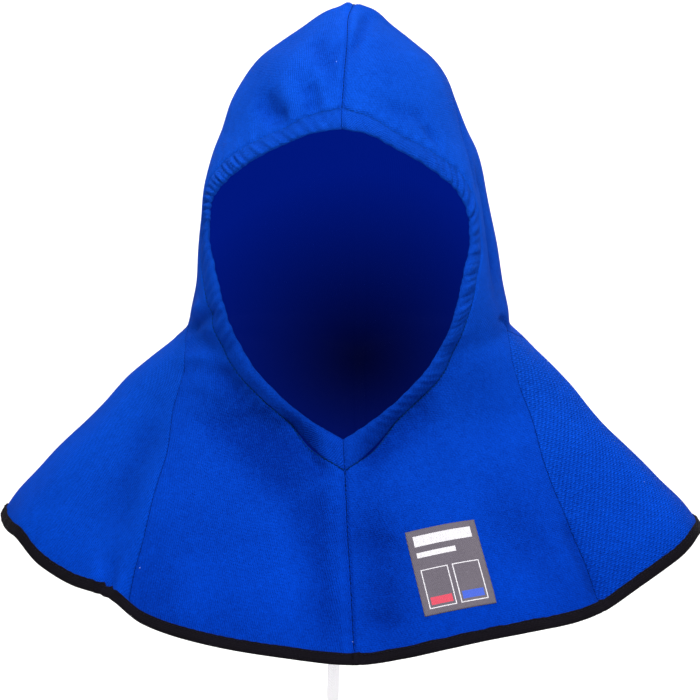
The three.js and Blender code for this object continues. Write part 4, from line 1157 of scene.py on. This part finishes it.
def inside_cloth(name, near, deep, middle, reach):
    """The cloth's inner face, with a painted glow and painted shade that both darken towards the back of the
    neck.
    """
    s = Shader(name, Roughness=0.95, Specular_IOR_Level=0.02, Emission_Strength=1.0)
    place = s.place()
    x, y, z = s.parts(place)
    away = (((x - middle[0]) / reach[0]) ** 2.0 + ((y - middle[1]) / reach[1]) ** 2.0
            + ((z - middle[2]) / reach[2]) ** 2.0) ** 0.62
    lint = s.noise(place, 900.0, 2.0)
    rib = ribs(s, math.radians(-58), 0.0014, s.noise(place, 30.0) * 4.0)
    share = (away + rib * 0.012 + (lint - 0.5) * 0.03).clamped()
    # Painted shade in the base colour and a painted glow, both darkest towards the back of the neck.
    s.feed("Base Color", s.blend(share, opaque(deep, 0.2), opaque(near, 0.2)))
    s.feed("Emission Color", s.blend(share, opaque(deep), opaque(near)))
    s.bump(rib * 0.6 + lint, 0.00012)
    return s.material


def tape(name, colour):
    """Woven binding tape: fine cross ribs and a little lint."""
    s = Shader(name, Roughness=0.9, Specular_IOR_Level=0.08)
    place = s.place()
    lint, slow = s.noise(place, 1500.0, 2.0), s.noise(place, 45.0, 3.0)
    across, down = s.grain()
    rib = (across * (2 * math.pi / 0.0009)).sine() * 0.6 + (down * (2 * math.pi / 0.0011)).sine() * 0.4
    share = (0.4 + rib * 0.14 + (lint - 0.5) * 1.1 + (slow - 0.5) * 0.6).clamped()
    s.feed("Base Color", s.blend(share, opaque(colour, 0.5), opaque(colour, 1.9)))
    s.bump(rib + lint * 1.4, 0.00012)
    return s.material


def thread(name, colour):
    """Twisted sewing thread."""
    s = Shader(name, Roughness=0.7, Specular_IOR_Level=0.04)
    lint = s.noise(s.place(), 2600.0, 1.0)
    s.feed("Base Color", s.blend(lint, opaque(colour, 0.6), opaque(colour, 1.4)))
    return s.material


def cotton_cord(name, colour):
    """Soft white flat-woven cotton: two rows of slanted stitches that meet along the middle, and a painted
    glow.
    """
    s = Shader(name, Roughness=0.88, Specular_IOR_Level=0.2, Emission_Color=opaque(colour),
               Emission_Strength=0.55)
    across, down = s.grain()
    lint = s.noise(s.place(), 1800.0, 2.0)
    plait = ((across.size() * 0.9 + down) * (2 * math.pi / 0.0019)).sine()
    cross = (across * (2 * math.pi / 0.0012)).sine()
    weave = plait * 0.7 + cross * 0.3
    share = (0.62 + weave * 0.2 + (lint - 0.5) * 0.5).clamped()
    s.feed("Base Color", s.blend(share, opaque(colour, 0.74), opaque(colour, 1.0)))
    s.bump(weave + lint * 0.8, 0.00022)
    return s.material


def box_mask(u, v, left, top, right, bottom):
    """1 inside a rectangle of the patch, else 0."""
    return (u > left) * (u < right) * (v > top) * (v < bottom)


# Plain marks on the patch, in shares of its width and height: left, top, right, bottom.
PATCH_BARS = ((0.09, 0.07, 0.91, 0.19), (0.09, 0.26, 0.64, 0.32))
PATCH_FRAMES = ((0.09, 0.46, 0.47, 0.93), (0.53, 0.46, 0.91, 0.93))
PATCH_BLOCKS = ((0.13, 0.80, 0.43, 0.89), (0.57, 0.80, 0.87, 0.89))
FRAME_LINE = (0.014, 0.011)


def transfer(name, grey, pale, warm, cool):
    """Rubbery grey transfer pressed into the cloth, with plain bars, frames and blocks."""
    s = Shader(name, Roughness=0.6, Specular_IOR_Level=0.3)
    u, v = s.parts(s.node("ShaderNodeUVMap", {"uv_map": "grain"}))[:2]
    place = s.place()
    lint, slow = s.noise(place, 1300.0, 2.0), s.noise(place, 60.0, 3.0)
    marks = None
    for bar in PATCH_BARS:
        mask = box_mask(u, v, *bar)
        marks = mask if marks is None else marks + mask
    for left, top, right, bottom in PATCH_FRAMES:
        wide, tall = FRAME_LINE
        marks = marks + (box_mask(u, v, left, top, right, bottom)
                         - box_mask(u, v, left + wide, top + tall, right - wide, bottom - tall))
    print_wear_and_fold_shade = (marks * (0.86 + (lint - 0.5) * 0.9)).clamped()
    tone = (0.5 + (lint - 0.5) * 0.9 + (slow - 0.5) * 0.5).clamped()
    colour = s.blend(tone, opaque(grey, 0.8), opaque(grey, 1.2))
    colour = s.blend(print_wear_and_fold_shade, colour, opaque(pale))
    for block, ink in zip(PATCH_BLOCKS, (warm, cool)):
        colour = s.blend((box_mask(u, v, *block) * 0.92).clamped(), colour, opaque(ink))
    s.feed("Base Color", colour)
    weave = (s.parts(place)[0] * (2 * math.pi / 0.0013) + s.parts(place)[2] * (2 * math.pi / 0.0019)).sine()
    s.bump(weave * 0.7 + lint, 0.00012)
    return s.material


# ---- what a user would change ----

def colour(name, description, value):
    return bpy.props.FloatVectorProperty(name=name, description=description, subtype="COLOR", size=3,
                                         min=0, max=1, default=value)


def length(name, description, value, precision=4):
    return bpy.props.FloatProperty(name=name, description=description, subtype="DISTANCE", unit="LENGTH", min=0,
                                   default=value, precision=precision)


def power(name, description, value):
    return bpy.props.FloatProperty(name=name, description=description, unit="POWER", default=value, min=0)


class HoodCloth(bpy.types.PropertyGroup):
    """Colours and weave of the blue twill"""
    panel_colour: colour("Panel Colour", "Blue of the two hood halves", (0.0004, 0.058, 0.54))
    gusset_colour: colour("Gusset Colour", "Blue of the two shoulder gussets", (0.0006, 0.064, 0.56))
    casing_colour: colour("Casing Colour", "Blue of the gathered casing round the face", (0.0005, 0.052, 0.49))
    # Colours of the inner face's painted glow and painted shade.
    inside_near: colour("Inside Colour", "Glow of the cloth's inner face near the openings",
                        (0.0, 0.0080, 0.195))
    inside_deep: colour("Inside Shade", "Glow of the cloth's inner face deep at the back of the neck",
                        (0.0, 0.0006, 0.016))
    rib_pitch: length("Rib Pitch", "Distance between the ribs of the halves' twill", 0.0019, 5)
    gusset_rib_pitch: length("Gusset Rib Pitch", "Distance between the bolder ribs that show on the gussets",
                             0.0024, 5)
    rib_depth: length("Rib Depth", "Height of the twill's ribs", 0.0004, 5)


class HoodTrim(bpy.types.PropertyGroup):
    """Binding tape, sewing threads and seams"""
    binding_colour: colour("Binding Colour", "Black of the tape round the hem", (0.0042, 0.0032, 0.0058))
    thread_colour: colour("Thread Colour", "Dark teal thread of the casing", (0.0015, 0.028, 0.075))
    seam_thread_colour: colour("Seam Thread Colour", "Thread that shows in the seams", (0.0005, 0.006, 0.045))
    gusset_thread_colour: colour("Gusset Thread Colour", "Thread of the gusset seams", (0.0006, 0.018, 0.16))
    binding_thread_colour: colour("Binding Thread Colour", "Thread that holds the binding down",
                                  (0.014, 0.012, 0.018))
    stitch_pitch: length("Stitch Pitch", "Distance from one stitch to the next", 0.0029)
    stitch_length: length("Stitch Length", "Visible length of one stitch", 0.0021)
    thread_radius: length("Thread Radius", "Half the thickness of the thread", 0.00021, 5)
    allowance_width: length("Seam Allowance", "Width of the turned-in cloth behind each seam", 0.015)


class HoodPatch(bpy.types.PropertyGroup):
    """The grey transfer on the chest"""
    width: length("Width", "Width of the patch", 0.0475)
    height: length("Height", "Height of the patch", 0.061)
    thickness: length("Thickness", "Thickness of the transfer", 0.0003, 5)
    grey: colour("Grey", "Ground colour of the patch", (0.115, 0.098, 0.125))
    pale: colour("Pale Marks", "Colour of its bars and thin frames", (0.80, 0.78, 0.82))
    warm: colour("Warm Block", "Colour of the first block", (0.66, 0.055, 0.10))
    cool: colour("Cool Block", "Colour of the second block", (0.035, 0.10, 0.60))


class HoodCord(bpy.types.PropertyGroup):
    """The free end of the drawcord"""
    width: length("Width", "Width of the flat cord", 0.0085)
    thickness: length("Thickness", "Thickness of the flat cord", 0.002)
    # The same white feeds the cord's painted glow.
    colour: colour("Colour", "White of the cotton", (0.97, 0.95, 0.94))


class HoodStage(bpy.types.PropertyGroup):
    """Camera, light and floor"""
    focal_length: bpy.props.FloatProperty(name="Focal Length", description="Lens of the camera",
                                          subtype="DISTANCE_CAMERA", default=146.94, min=10)
    distance: length("Distance", "Camera to the middle of the hood", 2.0)
    azimuth: bpy.props.FloatProperty(name="Azimuth", description="Turn of the camera towards the wearer's left",
                                     subtype="ANGLE", unit="ROTATION", default=math.radians(4))
    elevation: bpy.props.FloatProperty(name="Elevation", description="Height of the camera over the horizon",
                                       subtype="ANGLE", unit="ROTATION", default=math.radians(8))
    side_power: power("Side Power", "Soft light left of the camera, and half as much right of it", 9)
    top_power: power("Top Power", "Soft light over the camera", 38)
    backdrop_power: power("Backdrop Power", "Light that falls on the backdrop only", 100)
    sky_strength: bpy.props.FloatProperty(name="Sky Strength", description="Even white light from all round",
                                          default=0.15, min=0)
    floor_colour: colour("Floor Colour", "Pale floor and backdrop", (0.96, 0.96, 0.96))
    floor_drop: length("Floor Drop", "Floor below the head seat", 0.95)


GROUPS = {"welding_hood_cloth": HoodCloth, "welding_hood_trim": HoodTrim, "welding_hood_patch": HoodPatch,
          "welding_hood_cord": HoodCord, "welding_hood_stage": HoodStage}
TARGET = Vector((0.0032, 0.0, -0.231))      # what the camera looks at


# Centre and reach of the painted shade inside the hood.
SHADE_MIDDLE = (0.003, 0.095, -0.2565)      # darkest place inside, and how far its shade reaches
SHADE_REACH = (0.142, 0.5, 0.142)


def named(name, make):
    """The material of that name, made when it is first asked for."""
    return bpy.data.materials.get(name) or make()


def inside_material(cloth):
    name = "hood_inside"
    return named(name, lambda: inside_cloth(name, cloth.inside_near, cloth.inside_deep,
                                            SHADE_MIDDLE, SHADE_REACH))


def seam_material(trim):
    return named("seam_thread", lambda: thread("seam_thread", trim.seam_thread_colour))


def panel_material(side, cloth):
    name = "hood_twill_left" if side > 0 else "hood_twill_right"
    # fade sets each half's painted shade towards the hem.
    if side > 0:
        return named(name, lambda: twill(name, cloth.panel_colour, math.radians(44), cloth.rib_pitch * 0.7,
                                         cloth.rib_depth * 0.7, 0.34, floats=0.9, calm=0.3, fade=0.3))
    return named(name, lambda: twill(name, cloth.panel_colour, math.radians(102), cloth.rib_pitch * 0.8,
                                     cloth.rib_depth * 0.6, 0.11, floats=0.45, calm=-1.2, fade=0.36))


SIDES = (("left", 1), ("right", -1))


class HOOD_OT_stage(bpy.types.Operator):
    """Adds the camera, the soft lights and the pale floor"""
    bl_idname = "welding_hood.stage"
    bl_label = "Stage"

    def execute(self, context):
        stage = context.scene.welding_hood_stage
        lens = bpy.data.cameras.new("camera")
        lens.lens, lens.sensor_width = stage.focal_length, 36
        lens.clip_end = 60
        camera = bpy.data.objects.new("camera", lens)
        back = Vector((math.sin(stage.azimuth) * math.cos(stage.elevation),
                       -math.cos(stage.azimuth) * math.cos(stage.elevation), math.sin(stage.elevation)))
        camera.location = TARGET + back * stage.distance
        camera.rotation_euler = back.to_track_quat("Z", "Y").to_euler()
        context.collection.objects.link(camera)
        context.scene.camera = camera
        context.scene.view_settings.view_transform = "Standard"
        lamps = (("left_light", stage.side_power, 0.9, (-2.0, -0.35, 0.35), TARGET),
                 ("right_light", stage.side_power * 0.5, 0.9, (2.0, -0.35, 0.35), TARGET),
                 ("top_light", stage.top_power, 0.8, (0.2, -1.15, 1.0), TARGET),
                 ("backdrop_light", stage.backdrop_power, 2.4, (0.0, 1.3, 1.7), Vector((0, 3.4, -0.7))))
        for name, power, size, place, aim in lamps:
            lamp = bpy.data.lights.new(name, "AREA")
            lamp.energy, lamp.size = power, size
            light = bpy.data.objects.new(name, lamp)
            light.location = place
            light.rotation_euler = (light.location - aim).to_track_quat("Z", "Y").to_euler()
            context.collection.objects.link(light)
        sky = bpy.data.worlds.new("sky")
        sky.use_nodes = True
        sky.node_tree.nodes["Background"].inputs["Color"].default_value = (1, 1, 1, 1)
        sky.node_tree.nodes["Background"].inputs["Strength"].default_value = stage.sky_strength
        context.scene.world = sky
        self.floor(context, stage)
        return {"FINISHED"}

    def floor(self, context, stage):
        """A floor that curves up into a backdrop."""
        reach, near, bend, wall = 9.0, -6.0, 1.2, 7.0
        start = 2.6
        arc = np.linspace(0, math.pi / 2, 25)
        curve = [(start + bend * math.sin(a), bend * (1 - math.cos(a))) for a in arc]
        profile = [(near, 0.0), *curve, (start + bend, wall)]
        points = [(x, y, z - stage.floor_drop) for y, z in profile for x in (-reach, reach)]
        faces = [(2 * i, 2 * i + 1, 2 * i + 3, 2 * i + 2) for i in range(len(profile) - 1)]
        mesh = bpy.data.meshes.new("floor")
        mesh.from_pydata(points, [], faces)
        mesh.polygons.foreach_set("use_smooth", [True] * len(faces))
        paper = Shader("floor_paper", Roughness=0.95, Specular_IOR_Level=0.1)
        tone = paper.noise(paper.place(), 3.0)
        shade = opaque(stage.floor_colour)
        paper.feed("Base Color", paper.blend(tone, shade, opaque(stage.floor_colour, 1.01)))
        mesh.materials.append(paper.material)
        floor = bpy.data.objects.new("floor", mesh)
        context.collection.objects.link(floor)


class HOOD_OT_drawcord(bpy.types.Operator):
    """Builds the flat drawcord that hangs behind the front seam"""
    bl_idname = "welding_hood.drawcord"
    bl_label = "Drawcord"

    def execute(self, context):
        cord = context.scene.welding_hood_cord
        material = named("white_cotton", lambda: cotton_cord("white_cotton", cord.colour))
        thing, run = flat_cord("drawcord_end", cord.width, cord.thickness, material)
        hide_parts("drawcord")
        return {"FINISHED"}


class HOOD_OT_halves(bpy.types.Operator):
    """Builds the two halves of the hood and cape with their centre seams"""
    bl_idname = "welding_hood.halves"
    bl_label = "Hood Halves"

    def execute(self, context):
        cloth, trim = context.scene.welding_hood_cloth, context.scene.welding_hood_trim
        inner = inside_material(cloth)
        lines = {}
        front = front_run(1)
        split = (CROWN_ROWS + FACE_ROWS) * ROW_STEPS
        ridge = (np.zeros(20), np.linspace(0, math.pi, 20))
        back = (np.linspace(0, 1.985, 90), np.full(90, math.pi))
        crown = (front[0][CROWN_ROWS * ROW_STEPS::-1], front[1][CROWN_ROWS * ROW_STEPS::-1])
        lines["crown"] = joined(crown, ridge, back)
        lines["front"] = tuple(run[split:-ROW_STEPS] for run in front)
        width = trim.allowance_width / MM
        for name, run in lines.items():
            reach, drop = ((-3.8, 3.8), 0.05) if name == "crown" else ((-width / 2, width / 2), 0.012)
            strip = allowance(f"{name}_seam_allowance", 1, run, reach, [inner], drop=drop)
            bars = seam_stitches(1, run, (name,), trim.stitch_pitch / MM, trim.stitch_length / MM, 0.25)
            bars = tuple(part - np.array([SEAM_GAP / 2, 0, 0]) * (k < 2) for k, part in enumerate(bars))
            sewn = stitches(f"{name}_seam_stitches", *bars, trim.thread_radius / MM, seam_material(trim))
        for word, side in SIDES:
            half = hood_half(side, [panel_material(side, cloth), inner], f"hood_half_{word}")
            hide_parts(f"hood_panel_{word}")
        return {"FINISHED"}


class HOOD_OT_gussets(bpy.types.Operator):
    """Builds the triangle over each shoulder with its two seams"""
    bl_idname = "welding_hood.gussets"
    bl_label = "Shoulder Gussets"

    def execute(self, context):
        cloth, trim = context.scene.welding_hood_cloth, context.scene.welding_hood_trim
        inner = inside_material(cloth)
        first, last = ROWS_ABOVE_POINT * ROW_STEPS, -ROW_STEPS
        width = trim.allowance_width / MM
        for word, side in SIDES:
            name = f"gusset_twill_{word}"
            # fade sets each gusset's painted shade towards the hem.
            if side > 0:
                blue = twill(name, cloth.gusset_colour, math.radians(8), cloth.gusset_rib_pitch,
                             cloth.rib_depth * 1.5, 0.75, float_angle=math.radians(-30), floats=0.8,
                             float_ratio=1.1, fade=0.2)
            else:
                blue = twill(name, cloth.gusset_colour, math.radians(-48), cloth.rib_pitch * 0.8,
                             cloth.rib_depth, 0.36, float_angle=math.radians(42), float_ratio=1.0, fade=0.0)
            gusset = shoulder_gusset(side, [blue, inner], f"gusset_{word}")
            dotted = named("gusset_thread", lambda: thread("gusset_thread", trim.gusset_thread_colour))
            extras = []
            for place, degrees in (("front", GUSSET_FRONT[side]), ("back", GUSSET_BACK)):
                run = tuple(part[first:last] for part in gusset_run(side, degrees))
                reach = (-width / 2, width / 2)
                strip = allowance(f"gusset_allowance_{place}_{word}", side, run, reach, [blue])
                bars = seam_stitches(side, run, GUSSET_SEAMS, trim.stitch_pitch * 0.8 / MM,
                                     trim.stitch_length * 0.7 / MM, 0.2)
                sewn = stitches(f"gusset_stitches_{place}_{word}", *bars, trim.thread_radius * 0.8 / MM, dotted)
                extras += [strip, sewn]
            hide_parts(f"shoulder_gusset_{word}")
        return {"FINISHED"}


class HOOD_OT_casing(bpy.types.Operator):
    """Builds the gathered casing round the face opening and its stitch line"""
    bl_idname = "welding_hood.casing"
    bl_label = "Face Casing"

    def execute(self, context):
        cloth, trim = context.scene.welding_hood_cloth, context.scene.welding_hood_trim
        teal = named("casing_thread", lambda: thread("casing_thread", trim.thread_colour))
        for word, side in SIDES:
            name = f"casing_twill_{word}"
            # The casing takes the twill's painted shade towards the hem and the painted shade in its folds.
            blue = twill(name, cloth.casing_colour, math.radians(45 * side), cloth.rib_pitch * 0.55,
                         cloth.rib_depth * 0.7, 0.4, floats=0.4)
            tube = casing(side, [blue], f"casing_{word}")
            stitch = face_lines(side, FACE_ROWS * ROW_STEPS)[1]
            bars = seam_stitches(side, stitch, PANEL_SEAMS, trim.stitch_pitch / MM, trim.stitch_length / MM,
                                 0.42)
            sewn = stitches(f"casing_stitches_{word}", *bars, trim.thread_radius / MM, teal)
            reach = (-0.7, 4.5) if side < 0 else (-4.5, 0.7)
            strip = allowance(f"casing_allowance_{word}", side, stitch, reach, [blue], 0.3)
            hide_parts(f"face_casing_{word}")
        return {"FINISHED"}


class HOOD_OT_binding(bpy.types.Operator):
    """Builds the black tape folded over the hem, and its stitches"""
    bl_idname = "welding_hood.binding"
    bl_label = "Hem Binding"

    def execute(self, context):
        trim = context.scene.welding_hood_trim
        black = named("binding_tape", lambda: tape("binding_tape", trim.binding_colour))
        fold = binding([black], "hem_tape")
        hem, top, low, high, _, along = hem_frames()
        pitch, size = trim.stitch_pitch / MM, trim.stitch_length / MM
        at = (np.arange(int(along[-1] / pitch)) + 0.5) * pitch
        height = BINDING_SEWN_HEIGHT / BINDING_WIDTH
        out = (BINDING_SEWN_OUT + broad_relief(hem))[:, None]
        base = mix(hem, top, height) + unit(mix(low, high, height)) * out
        ends = [np.stack([np.interp(at + move, along, base[:, k]) for k in range(3)], -1)
                for move in (-size / 2, size / 2)]
        out = unit(np.stack([np.interp(at, along, high[:, k]) for k in range(3)], -1))
        thread_black = named("binding_thread", lambda: thread("binding_thread", trim.binding_thread_colour))
        sewn = stitches("binding_stitches", *ends, out, trim.thread_radius / MM, thread_black)
        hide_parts("hem_binding")
        return {"FINISHED"}


class HOOD_OT_patch(bpy.types.Operator):
    """Builds the plain grey transfer on the chest"""
    bl_idname = "welding_hood.patch"
    bl_label = "Chest Patch"

    def execute(self, context):
        patch = context.scene.welding_hood_patch
        thick = patch.thickness / MM
        rows, columns = 56, 44
        points, normals, places = patch_points(rows, columns, patch.width / MM, patch.height / MM, 0.12 + thick)
        quads = grid_quads(np.arange((rows + 1) * (columns + 1)).reshape(rows + 1, columns + 1), 1)
        grey = transfer("grey_transfer", patch.grey, patch.pale, patch.warm, patch.cool)
        sheet = two_layers("chest_transfer", points.reshape(-1, 3), normals.reshape(-1, 3), quads,
                           places.reshape(-1, 2), thick, [grey])
        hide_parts("chest_patch")
        return {"FINISHED"}


class HOOD_PT_panel(bpy.types.Panel):
    """Settings and steps of the welding hood"""
    bl_label = "Welding Hood"
    bl_idname = "HOOD_PT_panel"
    bl_space_type = "VIEW_3D"
    bl_region_type = "UI"
    bl_category = "Hood"

    def draw(self, context):
        for operator in STEPS:
            self.layout.operator(operator.bl_idname)
        for name, group in GROUPS.items():
            box = self.layout.box()
            box.label(text=group.__doc__)
            for key in group.__annotations__:
                box.prop(getattr(context.scene, name), key)


STEPS = (HOOD_OT_stage, HOOD_OT_drawcord, HOOD_OT_halves, HOOD_OT_gussets, HOOD_OT_casing,
         HOOD_OT_binding, HOOD_OT_patch)


def register():
    for group in (*GROUPS.values(), *STEPS, HOOD_PT_panel):
        bpy.utils.register_class(group)
    for name, group in GROUPS.items():
        setattr(bpy.types.Scene, name, bpy.props.PointerProperty(type=group))


def unregister():
    for name in GROUPS:
        delattr(bpy.types.Scene, name)
    for group in reversed((*GROUPS.values(), *STEPS, HOOD_PT_panel)):
        bpy.utils.unregister_class(group)


def main():
    register()
    for step in STEPS:
        area, name = step.bl_idname.split(".")
        getattr(getattr(bpy.ops, area), name)()


if __name__ == "__main__":
    main()
